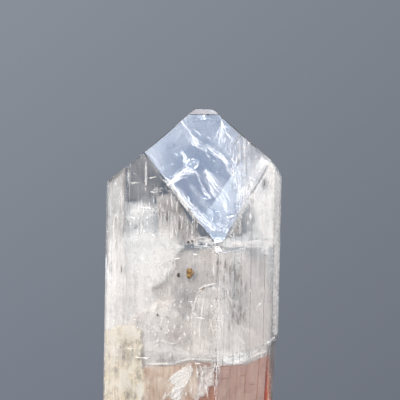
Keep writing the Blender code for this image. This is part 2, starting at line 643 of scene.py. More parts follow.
@dataclass
class CrystalSkin:
    """The crystal's outer surface, with its growth striations, ledges, worn edges and chips."""

    habit: Habit
    finest_strip: float = 0.14
    strip_spread: float = 2.9
    plateau_depth: float = 0.08
    fine_depth: float = 0.014
    riser: float = 0.05
    ledges: int = 42
    ledge_rise: float = 0.14
    ledge_step: float = 0.022
    ledge_chance: float = 0.16
    break_height: float = 25.2
    break_step: float = 0.28
    break_taper: float = 0.035
    break_fall: float = 2.6
    break_run: float = 6.0
    wear: float = 0.07
    tip_wear: float = 0.02
    shelf_chance: float = 0.14
    first_ledge: float = 2.0
    top_free: float = 4.0
    break_clear: float = 0.6
    wave: float = 0.009
    wave_base: float = 0.012
    wave_size: tuple[float, float] = (0.9, 0.07)
    flat_rim: float = 12.0
    chip_ripples: float = 17.0
    chip_ripple: float = 0.006
    chip_bumps: float = 0.02
    seed: int = 23
    chips: dict[str, tuple] = field(
        default_factory=lambda: {
            "under_front_face": ((4.4, -13.6, 39.7), (3.1, 1.75, 1.5), 12.0),
            "front_edge": ((3.4, -13.3, 18.2), (1.6, 1.05, 2.6), 0.0),
            "left_edge": ((-13.6, -0.4, 9.4), (1.7, 2.2, 3.0), 0.0),
            "root_front": ((-2.6, -9.9, -1.0), (5.5, 2.6, 3.2), -32.5),
            "root_left": ((-13.2, 1.0, -1.2), (2.6, 4.6, 4.0), 0.0),
            "root_back": ((-4.6, 12.6, -0.8), (5.0, 2.9, 3.0), 0.0),
            "root_right": ((12.3, 2.0, -1.6), (2.4, 5.0, 4.6), -8.0),
        }
    )

    def _strips(self, rng: random.Random, width: float) -> list[float]:
        """Uneven bounds of a face's strips.

        Args:
            rng: the random source.
            width: the face's width.

        Returns:
            Shares of the width from 0 to 1.
        """
        bounds = [0.0]
        while bounds[-1] < width:
            bounds.append(bounds[-1] + self.finest_strip * math.exp(rng.uniform(0.0, self.strip_spread)))
        return [bound / bounds[-1] for bound in bounds]

    def _depths(self, rng: random.Random, strips: int) -> list[list[float]]:
        """How deep each strip lies in each band between two ledges.

        Args:
            rng: the random source.
            strips: how many there are.

        Returns:
            One list of depths for each strip.
        """
        table = []
        shelf = 0.0
        for strip in range(strips):
            if rng.random() < self.shelf_chance:
                shelf = rng.uniform(0.0, self.plateau_depth - self.fine_depth)
            depth = 0.0 if strip in (0, strips - 1) else shelf + rng.uniform(0.0, self.fine_depth)
            bands = [depth]
            for _ in range(self.ledges):
                if strip not in (0, strips - 1) and rng.random() < self.ledge_chance:
                    depth = abs(depth + rng.choice((-self.ledge_step, self.ledge_step)))
                bands.append(min(depth, self.plateau_depth))
            table.append(bands)
        return table

    def _levels(self, rng: random.Random) -> tuple[list[float], list[float]]:
        """The levels of the mesh.

        Args:
            rng: the random source.

        Returns:
            The feet of the ledges, and every level from root to top.
        """
        step = (self.habit.uncut_height - self.top_free) / self.ledges
        feet = [self.first_ledge + step * (i + rng.uniform(0.1, 0.8)) for i in range(self.ledges)]
        feet = [foot for foot in feet if abs(foot - self.break_height) > self.break_clear]
        levels = [0.0, self.habit.uncut_height, self.break_height, self.break_height + self.ledge_rise]
        for foot in feet:
            levels += [foot, foot + self.ledge_rise]
        return feet, sorted(levels)

    def _set_back(self, height: float) -> float:
        """How far the narrowed faces lie back at a height.

        Args:
            height: a level.

        Returns:
            The distance.
        """
        if height > self.break_height:
            return 0.0
        return self.break_step + self.break_taper * (self.break_height - height)

    def _dip(self, height: float, x: float, right: float) -> float:
        """How far the old break's line lies under its height at the right edge.

        Args:
            height: a level.
            x: where, from left to right.
            right: the right edge.

        Returns:
            The dip in millimetres.
        """
        if not self.break_height <= height <= self.break_height + self.ledge_rise:
            return 0.0
        return self.break_fall * min(1.0, (right - x) / self.break_run)

    def _prism(self) -> bmesh.types.BMesh:
        """The striated prism.

        Returns:
            The closed prism, in millimetres and the crystal's axes.
        """
        rng = random.Random(self.seed)
        feet, levels = self._levels(rng)
        whole = self.habit.corners()
        right = max(corner.x for corner in whole)
        faces = []
        for i, face in enumerate(self.habit.prism):
            width = (whole[(i + 1) % len(whole)] - whole[i]).length
            bounds = self._strips(rng, width)
            faces.append((face, bounds, self._depths(rng, len(bounds) - 1), self.riser / width))
        mesh = bmesh.new()
        rings = []
        fine, tall = self.wave_size
        for height in levels:
            corners = self.habit.corners(self._set_back(height))
            band = sum(height > foot for foot in feet)
            ring = []
            for i, (face, bounds, depths, riser) in enumerate(faces):
                start = corners[i]
                end = corners[(i + 1) % len(corners)]
                inward = -face.normal().to_2d()
                for strip, bands in enumerate(depths):
                    low = bounds[strip] + (riser / 2 if strip else 0.0)
                    high = bounds[strip + 1] - riser / 2
                    shares = [low] if strip == len(depths) - 1 else [low, max(high, low + 1e-4)]
                    for share in shares:
                        flat = start.lerp(end, share)
                        spot = (flat.x * fine, flat.y * fine, height * tall)
                        wave = noise.noise(Vector(spot)) * self.wave
                        edge = min(share, 1.0 - share) * self.flat_rim
                        point = flat + inward * (bands[band] + (self.wave_base + wave) * min(1.0, edge))
                        level = height - self._dip(height, point.x, right)
                        ring.append(mesh.verts.new((point.x, point.y, level)))
            rings.append(ring)
        count = len(rings[0])
        for low, high in zip(rings, rings[1:]):
            for i in range(count):
                j = (i + 1) % count
                mesh.faces.new((low[i], low[j], high[j], high[i]))
        mesh.faces.new(list(reversed(rings[0])))
        mesh.faces.new(rings[-1])
        return mesh

    @staticmethod
    def _cut(mesh: bmesh.types.BMesh, point: Vector, normal: Vector) -> None:
        """Take away what lies outside a plane and close the cut with a flat face.

        Args:
            mesh: the crystal.
            point: a point of the plane.
            normal: its outward normal.
        """
        geom = mesh.verts[:] + mesh.edges[:] + mesh.faces[:]
        made = bmesh.ops.bisect_plane(
            mesh, geom=geom, dist=1e-5, plane_co=point, plane_no=normal, clear_outer=True
        )
        rim = [item for item in made["geom_cut"] if isinstance(item, bmesh.types.BMEdge)]
        if rim:
            bmesh.ops.contextual_create(mesh, geom=rim)

    def _wear(self, mesh: bmesh.types.BMesh, first: RoofFace, second: RoofFace, width: float) -> None:
        """Trim the edge between two termination faces by a narrow flat.

        Args:
            mesh: the crystal.
            first: one face.
            second: the other face.
            width: how deep the flat lies under the edge.
        """
        a = first.normal()
        b = second.normal()
        middle = (a + b).normalized()
        line = a.cross(b)
        reach = b.cross(line) * a.dot(first.point()) + line.cross(a) * b.dot(second.point())
        self._cut(mesh, reach / line.length_squared - middle * width, middle)

    def _chip(self, name: str, centre: tuple, half: tuple, turn: float) -> Object:
        """A rippled ellipsoid that the Boolean takes away.

        Args:
            name: the chip's name.
            centre: its centre.
            half: its half sizes.
            turn: its turn about Z in degrees.

        Returns:
            The cutter.
        """
        mesh = bmesh.new()
        bmesh.ops.create_icosphere(mesh, subdivisions=5, radius=1.0)
        for vert in mesh.verts:
            slope = math.acos(max(-1.0, min(1.0, vert.co.z)))
            ripple = math.sin(slope * self.chip_ripples) * self.chip_ripple
            vert.co *= 1.0 + ripple + self.chip_bumps * noise.noise(vert.co * 2.0)
        size = Matrix.Diagonal((half[0] * MM, half[1] * MM, half[2] * MM, 1.0))
        where = Matrix.Translation((Vector(centre) - self.habit.middle()) * MM)
        mesh.transform(where @ Matrix.Rotation(math.radians(turn), 4, "Z") @ size)
        return as_object(f"cutter_{name}", mesh)

    def build(self, finish: Material) -> Object:
        """Make the piece.

        Args:
            finish: the crystal's material.

        Returns:
            The skin as one closed mesh.
        """
        mesh = self._prism()
        for roof in self.habit.roofs():
            self._cut(mesh, roof.point(), roof.normal())
        for first in (self.habit.front, self.habit.back):
            for second in (self.habit.right_roof, self.habit.left_roof):
                self._wear(mesh, first, second, self.wear)
        self._wear(mesh, self.habit.front, self.habit.tip, self.tip_wear)
        bmesh.ops.recalc_face_normals(mesh, faces=mesh.faces[:])
        mesh.transform(Matrix.Scale(MM, 4) @ Matrix.Translation(-self.habit.middle()))
        skin = as_object("crystal_skin", mesh)
        cutters = [self._chip(name, *chip) for name, chip in self.chips.items()]
        for cutter in cutters:
            bite = skin.modifiers.new(cutter.name, "BOOLEAN")
            bite.operation = "DIFFERENCE"
            bite.solver = "MANIFOLD"
            bite.object = cutter
        skin = made_plain(skin)
        for cutter in cutters:
            bpy.data.objects.remove(cutter, do_unlink=True)
        skin.data.materials.clear()
        skin.data.materials.append(finish)
        return skin


# Object helpers


def as_object(name: str, mesh: bmesh.types.BMesh) -> Object:
    """Turn a bmesh into a linked object.

    Args:
        name: the object's name.
        mesh: the bmesh, which is freed.

    Returns:
        The object, at the origin.
    """
    data = bpy.data.meshes.new(name)
    mesh.to_mesh(data)
    mesh.free()
    made = bpy.data.objects.new(name, data)
    bpy.context.scene.collection.objects.link(made)
    return made


def made_plain(thing: Object) -> Object:
    """Apply an object's modifiers.

    Args:
        thing: the object.

    Returns:
        The same object with its evaluated mesh and no modifiers.
    """
    graph = bpy.context.evaluated_depsgraph_get()
    data = bpy.data.meshes.new_from_object(thing.evaluated_get(graph))
    thing.modifiers.clear()
    thing.data = data
    data.name = thing.name
    return thing


# The studio


@dataclass(frozen=True)
class PhotoCamera:
    """The camera at the photograph's angle. Millimetres and degrees; the clipping distances are in metres."""

    away: float = 500.0
    elevation: float = 5.108
    roll: float = 1.142
    aim: tuple[float, float, float] = (0.847, 0.375, 45.0)
    lens: float = 315.0
    sensor: float = 36.0
    pixels: int = 400
    nearest: float = 0.01
    farthest: float = 20.0

    def back(self) -> Vector:
        """From what it looks at towards the camera."""
        up = math.radians(self.elevation)
        return Vector((0.0, -math.cos(up), math.sin(up)))

    def place(self) -> Vector:
        """Where the camera stands, in millimetres."""
        return Vector(self.aim) + self.back() * self.away

    def turn(self) -> Matrix:
        """The camera's rotation.

        Returns:
            A matrix whose columns are right, up and back.
        """
        back = self.back()
        right = Vector((1.0, 0.0, 0.0))
        up = back.cross(right)
        level = Matrix((right, up, back)).transposed()
        return level @ Matrix.Rotation(math.radians(self.roll), 3, "Z")

    def ray(self, px: float, py: float) -> Vector:
        """The direction through a point of the 400 x 400 picture.

        Args:
            px: pixels from the left.
            py: pixels from the top.

        Returns:
            The unit direction.
        """
        focal = self.lens / self.sensor * self.pixels
        local = Vector((px - self.pixels / 2, self.pixels / 2 - py, -focal))
        return (self.turn() @ local).normalized()

    def build(self) -> Object:
        """Make the camera and look through it.

        Returns:
            The camera.
        """
        data = bpy.data.cameras.new("camera")
        data.lens = self.lens
        data.sensor_width = self.sensor
        data.clip_start = self.nearest
        data.clip_end = self.farthest
        camera = bpy.data.objects.new("camera", data)
        camera.matrix_world = Matrix.Translation(self.place() * MM) @ self.turn().to_4x4()
        bpy.context.scene.collection.objects.link(camera)
        bpy.context.scene.camera = camera
        return camera


@dataclass(frozen=True)
class Softbox:
    """One soft light: where it stands as seen from the crystal, its size in metres and its radiance.

    It can be shifted sideways, in metres, and spun in its own plane, in degrees. Its aim is in millimetres.
    """

    name: str
    azimuth: float
    elevation: float
    away: float
    size: tuple[float, float]
    radiance: tuple[float, float, float]
    shift: float = 0.0
    spin: float = 0.0
    aim: tuple[float, float, float] = (0.0, 0.0, 35.0)

    def build(self) -> Object:
        """Make the light.

        Returns:
            The light.
        """
        data = bpy.data.lights.new(self.name, "AREA")
        data.shape = "RECTANGLE"
        data.size = self.size[0]
        data.size_y = self.size[1]
        peak = max(self.radiance)
        data.color = tuple(part / peak for part in self.radiance)
        data.energy = peak * math.pi * self.size[0] * self.size[1]
        light = bpy.data.objects.new(self.name, data)
        turn = math.radians(self.azimuth)
        up = math.radians(self.elevation)
        back = Vector((math.sin(turn) * math.cos(up), -math.cos(turn) * math.cos(up), math.sin(up)))
        spun = Matrix.Rotation(math.radians(self.spin), 3, "Z")
        facing = (-back).to_track_quat("-Z", "Y").to_matrix() @ spun
        centre = Vector(self.aim) * MM + back * self.away + facing.col[0] * self.shift
        light.matrix_world = Matrix.Translation(centre) @ facing.to_4x4()
        light.visible_camera = False
        bpy.context.scene.collection.objects.link(light)
        return light


@dataclass
class Studio:
    """Floor, backdrop colour, soft lights and camera."""

    camera: PhotoCamera
    floor_radius: float = 92.0
    floor_bevel: float = 0.8
    floor_thickness: float = 2.0
    floor_sides: int = 128
    upper: Colour = rgb(0.243, 0.267, 0.307)
    lower: Colour = rgb(0.180, 0.199, 0.240)
    rise: Spot = (-0.155, -0.025)
    across: Spot = (-0.06, 0.06)
    glow: Spot = (1.06, 0.86)
    lights: tuple[Softbox, ...] = (
        Softbox("left_front", -50.0, 30.0, 0.55, (0.50, 0.50), (7.9, 7.6, 7.3)),
        Softbox("right_front", 48.0, 26.0, 0.60, (0.42, 0.44), (8.4, 8.05, 7.8)),
        Softbox("overhead", 175.0, 62.0, 0.50, (0.40, 0.34), (4.3, 4.25, 4.6)),
        Softbox("sky_panel", 33.3, 61.6, 0.55, (0.070, 0.16), (3.5, 4.6, 6.7), -0.0267, -19.9),
        Softbox("pale_panel", 33.3, 61.6, 0.55, (0.070, 0.16), (2.5, 2.4, 2.7), 0.0433, -19.9),
        Softbox("left_wall", -105.0, 0.0, 0.60, (0.30, 0.50), (1.3, 1.15, 1.05)),
        Softbox("right_wall", 110.0, 0.0, 0.60, (0.26, 0.50), (1.6, 1.6, 1.6)),
    )

    def _backdrop(self) -> None:
        """A dull blue-grey all round, a little lighter above and to the left."""
        world = bpy.data.worlds.new("backdrop")
        bpy.context.scene.world = world
        world.use_nodes = True
        tree = Tree(world.node_tree)
        where = tree.node("ShaderNodeTexCoord").outputs["Generated"]
        parts = tree.node("ShaderNodeSeparateXYZ", slots={0: where}).outputs
        low, high = self.rise
        height = tree.node("ShaderNodeMapRange", Value=parts["Z"], From_Min=low, From_Max=high)
        side = {"Value": parts["X"], "From Min": self.across[0], "From Max": self.across[1]}
        across = tree.node("ShaderNodeMapRange", None, side, To_Min=self.glow[0], To_Max=self.glow[1])
        shade = tree.blend(height, self.lower, self.upper)
        light = tree.node("ShaderNodeBackground", Color=shade, Strength=across)
        tree.node("ShaderNodeOutputWorld", Surface=light)

    def _floor(self) -> Object:
        """The round pale board that the crystal stands on.

        Returns:
            The floor.
        """
        mesh = bmesh.new()
        bmesh.ops.create_cone(
            mesh,
            cap_ends=True,
            segments=self.floor_sides,
            radius1=self.floor_radius * MM,
            radius2=(self.floor_radius - self.floor_bevel) * MM,
            depth=self.floor_thickness * MM,
        )
        bmesh.ops.translate(mesh, verts=mesh.verts[:], vec=(0.0, 0.0, -self.floor_thickness / 2 * MM))
        floor = as_object("floor", mesh)
        floor.data.materials.append(PALE_BOARD.build())
        return floor

    def _light_paths(self) -> None:
        """Let light through the many layers inside the crystal."""
        scene = bpy.context.scene
        scene.view_settings.view_transform = "Standard"
        scene.cycles.max_bounces = 24
        scene.cycles.transmission_bounces = 20
        scene.cycles.glossy_bounces = 12
        scene.cycles.diffuse_bounces = 4
        scene.cycles.transparent_max_bounces = 48
        scene.cycles.caustics_refractive = False
        scene.cycles.caustics_reflective = False
        scene.cycles.sample_clamp_indirect = 6.0

    def build(self) -> None:
        """Set up everything round the crystal."""
        self._backdrop()
        self._floor()
        for light in self.lights:
            light.build()
        self.camera.build()
        self._light_paths()


# Inside the crystal


class Sighting:
    """Finds points inside the crystal behind a point of the picture, along the bent line of sight."""

    def __init__(self, camera: PhotoCamera, habit: Habit, margin: float = 0.12) -> None:
        """Remember the faces and the camera.

        Args:
            camera: the camera.
            habit: the crystal's faces.
            margin: how far under the faces every point is kept, in millimetres.
        """
        self.camera = camera
        self.normals = np.array([list(normal) for normal, _ in habit.planes()])
        self.reach = np.array([reach for _, reach in habit.planes()])
        self.margin = margin

    def held_in(self, points: np.ndarray, margin: float | None = None) -> np.ndarray:
        """Bring points inside the faces.

        Args:
            points: rows of x, y, z in millimetres.
            margin: how far under each face they have to lie, where it isn't the usual.

        Returns:
            The points, moved where they stood out.
        """
        margin = self.margin if margin is None else margin
        held = points.copy()
        for _ in range(4):
            for normal, reach in zip(self.normals, self.reach):
                over = np.maximum(held @ normal - (reach - margin), 0.0)
                held -= over[:, None] * normal
        held[:, 2] = np.maximum(held[:, 2], margin)
        return held

    def look_in(self, spots: np.ndarray, depth: np.ndarray) -> np.ndarray:
        """Follow the line of sight through each spot into the crystal.

        Args:
            spots: rows of pixels from the left and from the top.
            depth: how far to go behind the face, in millimetres.

        Returns:
            The points reached.
        """
        eye = np.array(self.camera.place())
        way = np.array([list(self.camera.ray(x, y)) for x, y in spots])
        along = way @ self.normals.T
        meets = (self.reach - self.normals @ eye) / along
        entering = np.where(along < 0.0, meets, -np.inf)
        face = np.argmax(entering, axis=1)
        start = eye + way * np.max(entering, axis=1)[:, None]
        normal = self.normals[face]
        lean = -np.sum(way * normal, axis=1, keepdims=True)
        bend = 1.0 / REFRACTION
        inner = bend * way + (bend * lean - np.sqrt(1.0 - bend * bend * (1.0 - lean * lean))) * normal
        return self.held_in(start + inner * depth[:, None])


@dataclass
class Net:
    """A fine triangle net over an outline in a plane."""

    spots: np.ndarray
    faces: list[tuple[int, ...]]
    rim: np.ndarray

    # Shares of the spacing: steps along the outline, rows, scatter, and the free strip at the outline
    STEP = 0.8
    ROW = 0.87
    SCATTER = 0.2
    FREE = 0.45

    @staticmethod
    def _ring(outline: list[Spot], spacing: float, rough: float, seed: int) -> list[Spot]:
        """Divide an outline and make it ragged.

        Args:
            outline: its corners in order.
            spacing: the size of the triangles.
            rough: how ragged it becomes.
            seed: where the noise is read.

        Returns:
            The ragged outline.
        """
        ring = []
        for (ax, ay), (bx, by) in zip(outline, outline[1:] + outline[:1]):
            steps = max(1, round(math.hypot(bx - ax, by - ay) / (spacing * Net.STEP)))
            for step in range(steps):
                x = ax + (bx - ax) * step / steps
                y = ay + (by - ay) * step / steps
                shove = noise.noise_vector(Vector((x, y, seed)) / (spacing * 3.0)) * rough
                shove += noise.noise_vector(Vector((y, x, seed)) / spacing) * rough * 0.4
                ring.append((x + shove.x, y + shove.y))
        return ring

    @staticmethod
    def over(outline: list[Spot], spacing: float, rough: float, seed: int) -> "Net":
        """Fill an outline.

        Args:
            outline: its corners in order.
            spacing: the size of the triangles.
            rough: how ragged the outline becomes.
            seed: the random seed.

        Returns:
            The net, with each spot's distance to the outline.
        """
        rng = random.Random(seed)
        ring = Net._ring(outline, spacing, rough, seed)
        corners = np.array(ring)
        low = corners.min(axis=0)
        high = corners.max(axis=0)
        rows = int((high[1] - low[1]) / (spacing * Net.ROW)) + 1
        columns = int((high[0] - low[0]) / spacing) + 2
        inner = []
        for row in range(rows):
            for column in range(columns):
                x = low[0] + spacing * (column - 0.5 * (row % 2) + rng.uniform(-Net.SCATTER, Net.SCATTER))
                y = low[1] + spacing * Net.ROW * (row + rng.uniform(-Net.SCATTER, Net.SCATTER))
                inner.append((x, y))
        away = rim_distance(np.array(inner), corners)
        kept = [spot for spot, distance in zip(inner, away) if distance > spacing * Net.FREE]
        spots = [Vector(spot) for spot in ring + kept]
        edges = [(i, (i + 1) % len(ring)) for i in range(len(ring))]
        found = geometry.delaunay_2d_cdt(spots, edges, [], 1, 1e-4)
        placed = np.array([list(spot) for spot in found[0]])
        return Net(placed, [tuple(face) for face in found[2]], np.maximum(rim_distance(placed, corners), 0.0))


def rim_distance(spots: np.ndarray, ring: np.ndarray) -> np.ndarray:
    """Distance of spots to a closed outline, negative outside it.

    Args:
        spots: rows of x and y.
        ring: the outline's corners in order.

    Returns:
        One distance for each spot.
    """
    following = np.roll(ring, -1, axis=0)
    side = following - ring
    length = np.maximum(np.sum(side * side, axis=1), TINY)
    nearest = np.full(len(spots), np.inf)
    inside = np.zeros(len(spots), bool)
    for a, b, s, square in zip(ring, following, side, length):
        share = np.clip(((spots - a) @ s) / square, 0.0, 1.0)
        nearest = np.minimum(nearest, np.linalg.norm(spots - a - share[:, None] * s, axis=1))
        crosses = (a[1] > spots[:, 1]) != (b[1] > spots[:, 1])
        rise = s[1] if abs(s[1]) > TINY else TINY
        inside ^= crosses & (spots[:, 0] < a[0] + (spots[:, 1] - a[1]) * s[0] / rise)
    return np.where(inside, nearest, -nearest)


def as_mesh(name: str, parts: list[Sheet], mark: str = "milk") -> Object:
    """Join point nets into one object.

    Args:
        name: the object's name.
        parts: points in millimetres, faces and one mark per point, for each net.
        mark: the name of the vertex attribute that holds the marks.

    Returns:
        The object, at the origin.
    """
    faces = []
    base = 0
    for where, net, _ in parts:
        faces += [tuple(base + i for i in face) for face in net]
        base += len(where)
    points = np.concatenate([where for where, _, _ in parts])
    marks = np.concatenate([weight for _, _, weight in parts])
    data = bpy.data.meshes.new(name)
    data.from_pydata((points * MM).tolist(), [], faces)
    layer = data.attributes.new(mark, "FLOAT", "POINT")
    layer.data.foreach_set("value", marks.astype(np.float32))
    made = bpy.data.objects.new(name, data)
    bpy.context.scene.collection.objects.link(made)
    return made


def eased(values: np.ndarray, low: float, high: float) -> np.ndarray:
    """A smooth step.

    Args:
        values: the numbers.
        low: where it starts to rise from 0.
        high: where it reaches 1.

    Returns:
        The step for each number.
    """
    share = np.clip((values - low) / (high - low), 0.0, 1.0)
    return share * share * (3.0 - 2.0 * share)


@dataclass(frozen=True)
class Veil:
    """A curtain of tiny healed cavities behind one face, placed by its outline in the picture; with a dark
    grey finish, painted shade.

    Each point of the outline, and each of the inner points, has its place in pixels and how milky the veil is
    there. The depth and the ripple are in millimetres, the lean in millimetres a pixel, the rest in pixels.
    """

    outline: tuple[MilkySpot, ...]
    inner: tuple[MilkySpot, ...] = ()
    depth: float = 1.0
    lean: Spot = (0.0, 0.0)
    ripple: float = 0.25
    fade: float = 1.5
    spacing: float = 2.6
    rough: float = 1.2
    shallowest: float = 0.15

    def net(self, sighting: Sighting, seed: int) -> Sheet:
        """Lift the veil into the crystal.

        Args:
            sighting: finds the points behind the picture's pixels.
            seed: the random seed.

        Returns:
            Points, faces and milkiness.
        """
        flat = Net.over([(x, y) for x, y, _ in self.outline], self.spacing, self.rough, seed)
        known = np.array(self.outline + self.inner)
        gap = np.linalg.norm(flat.spots[:, None, :] - known[None, :, :2], axis=2)
        pull = (gap + 0.5) ** -2.5
        milk = pull @ known[:, 2] / pull.sum(axis=1)
        if self.fade > 0.0:
            milk *= eased(flat.rim, 0.0, self.fade)
        away = flat.spots - flat.spots.mean(axis=0)
        wave = np.array([noise.noise(Vector((x * 0.06, y * 0.04, seed * 3.7))) for x, y in flat.spots])
        depth = self.depth + away @ np.array(self.lean) + wave * self.ripple
        return sighting.look_in(flat.spots, np.maximum(depth, self.shallowest)), flat.faces, milk


@dataclass(frozen=True)
class Curtain:
    """A large upright veil through the body: its normal's azimuth, its distance from the axis and its levels.

    Sizes are in millimetres.
    """

    azimuth: float
    offset: float
    low: float
    high: float
    milk: float
    spacing: float = 0.7
    reach: float = 16.0
    rough: float = 1.5
    swing: float = 2.2
    side_fade: float = 1.6
    top_fade: float = 6.0

    def net(self, sighting: Sighting, seed: int) -> Sheet:
        """Span the crystal.

        Args:
            sighting: holds the crystal's faces.
            seed: the random seed.

        Returns:
            Points, faces and milkiness.
        """
        reach = self.reach
        outline = [(-reach, self.low), (reach, self.low), (reach, self.high), (-reach, self.high)]
        flat = Net.over(outline, self.spacing, self.rough, seed)
        turn = math.radians(self.azimuth)
        out = np.array([math.cos(turn), math.sin(turn), 0.0])
        side = np.array([-math.sin(turn), math.cos(turn), 0.0])
        wave = np.array([noise.noise(Vector((x * 0.13, y * 0.06, seed * 2.3))) for x, y in flat.spots])
        points = flat.spots[:, :1] * side + flat.spots[:, 1:] * np.array([0.0, 0.0, 1.0])
        points = points + (self.offset + wave * self.swing)[:, None] * out
        depth = np.min(sighting.reach - points @ sighting.normals.T, axis=1)
        depth = np.minimum(depth, points[:, 2])
        kept = [face for face in flat.faces if min(depth[i] for i in face) > sighting.margin]
        below = self.high - points[:, 2]
        milk = self.milk * eased(depth, 0.0, self.side_fade) * eased(below, 0.0, self.top_fade)
        return trimmed(points, kept, milk)


@dataclass(frozen=True)
class Sleeve:
    """A tinted film just under some faces of the foot, with a ragged upper edge. Sizes in millimetres."""

    faces: tuple[int, ...]
    top: float = 22.6
    wander: float = 3.0
    top_fade: float = 4.5
    depth: float = 0.7
    ripple: float = 0.4
    milk: float = 0.85
    thinnest: float = 0.35
    spacing: float = 0.55
    rough: float = 0.5
    side_gap: float = 0.15
    foot_gap: float = 0.3
    set_back: float = 0.4

    def _net(self, habit: Habit, sighting: Sighting, i: int, seed: int) -> Sheet:
        """Line one face.

        Args:
            habit: the crystal's faces.
            sighting: keeps the points inside them.
            i: the face's number.
            seed: the random seed.

        Returns:
            Points, faces and milkiness.
        """
        corners = habit.corners(self.set_back)
        shift = habit.middle().to_2d()
        start = corners[i] - shift
        end = corners[(i + 1) % len(corners)] - shift
        width = (end - start).length
        side = (end - start) / width
        inward = -habit.prism[i].normal().to_2d()
        left = self.side_gap
        right = width - self.side_gap
        foot = self.foot_gap
        top = self.top + self.wander
        outline = [(left, foot), (right, foot), (right, top), (left, top)]
        flat = Net.over(outline, self.spacing, self.rough, seed + i)
        x = flat.spots[:, :1]
        z = flat.spots[:, 1:]
        wave = np.array([[noise.noise(Vector((a, b * 0.4, i)) * 0.4)] for a, b in flat.spots])
        deep = self.depth + wave * self.ripple
        level = np.array([*start]) + x * np.array([*side]) + deep * np.array([*inward])
        points = sighting.held_in(np.concatenate([level, z], axis=1))
        rise = np.array([noise.noise(Vector((*p[:2], 3.0)) * 0.22) for p in points]) * self.wander
        patch = np.array([noise.noise(Vector((p[0], p[1], p[2] * 0.6)) * 0.3) for p in points])
        cover = self.thinnest + (1.0 - self.thinnest) * eased(patch, -0.25, 0.2)
        fade = eased(self.top + rise - z[:, 0], 0.0, self.top_fade)
        return points, flat.faces, self.milk * cover * fade

    def nets(self, habit: Habit, sighting: Sighting, seed: int) -> list[Sheet]:
        """Line each face.

        Args:
            habit: the crystal's faces.
            sighting: keeps the points inside them.
            seed: the random seed.

        Returns:
            Points, faces and milkiness of each.
        """
        return [self._net(habit, sighting, i, seed) for i in self.faces]


def trimmed(points: np.ndarray, faces: list, marks: np.ndarray) -> Sheet:
    """Leave out the points that no face uses.

    Args:
        points: rows of x, y, z.
        faces: the kept faces.
        marks: one mark per point.

    Returns:
        Points, faces and marks.
    """
    used = sorted({i for face in faces for i in face})
    place = {old: new for new, old in enumerate(used)}
    return points[used], [tuple(place[i] for i in face) for face in faces], marks[used]


def gap_shell(points: np.ndarray, faces: list, open_by: np.ndarray) -> Sheet:
    """Turn a sheet into a thin closed gap with a sharp rim.

    Args:
        points: rows of x, y, z in millimetres.
        faces: its triangles.
        open_by: half the gap's width at each point, 0 on the rim.

    Returns:
        Points, faces and the widths.
    """
    corners = points[np.array(faces)]
    across = np.cross(corners[:, 1] - corners[:, 0], corners[:, 2] - corners[:, 0])
    normal = np.zeros_like(points)
    for column in range(3):
        np.add.at(normal, np.array(faces)[:, column], across)
    normal /= np.maximum(np.linalg.norm(normal, axis=1, keepdims=True), TINY)
    count = {}
    for face in faces:
        for i in range(3):
            edge = tuple(sorted((face[i], face[(i + 1) % 3])))
            count[edge] = count.get(edge, 0) + 1
    rim = {i for edge, times in count.items() if times == 1 for i in edge}
    lift = np.array([0.0 if i in rim else 1.0 for i in range(len(points))]) * open_by
    upper = points + normal * lift[:, None]
    free = [i for i in range(len(points)) if i not in rim]
    under = {i: len(points) + n for n, i in enumerate(free)}
    lower = (points - normal * lift[:, None])[free]
    turned = [tuple(under.get(i, i) for i in reversed(face)) for face in faces]
    marks = np.concatenate([open_by, open_by[free]])
    return np.concatenate([upper, lower]), faces + turned, marks


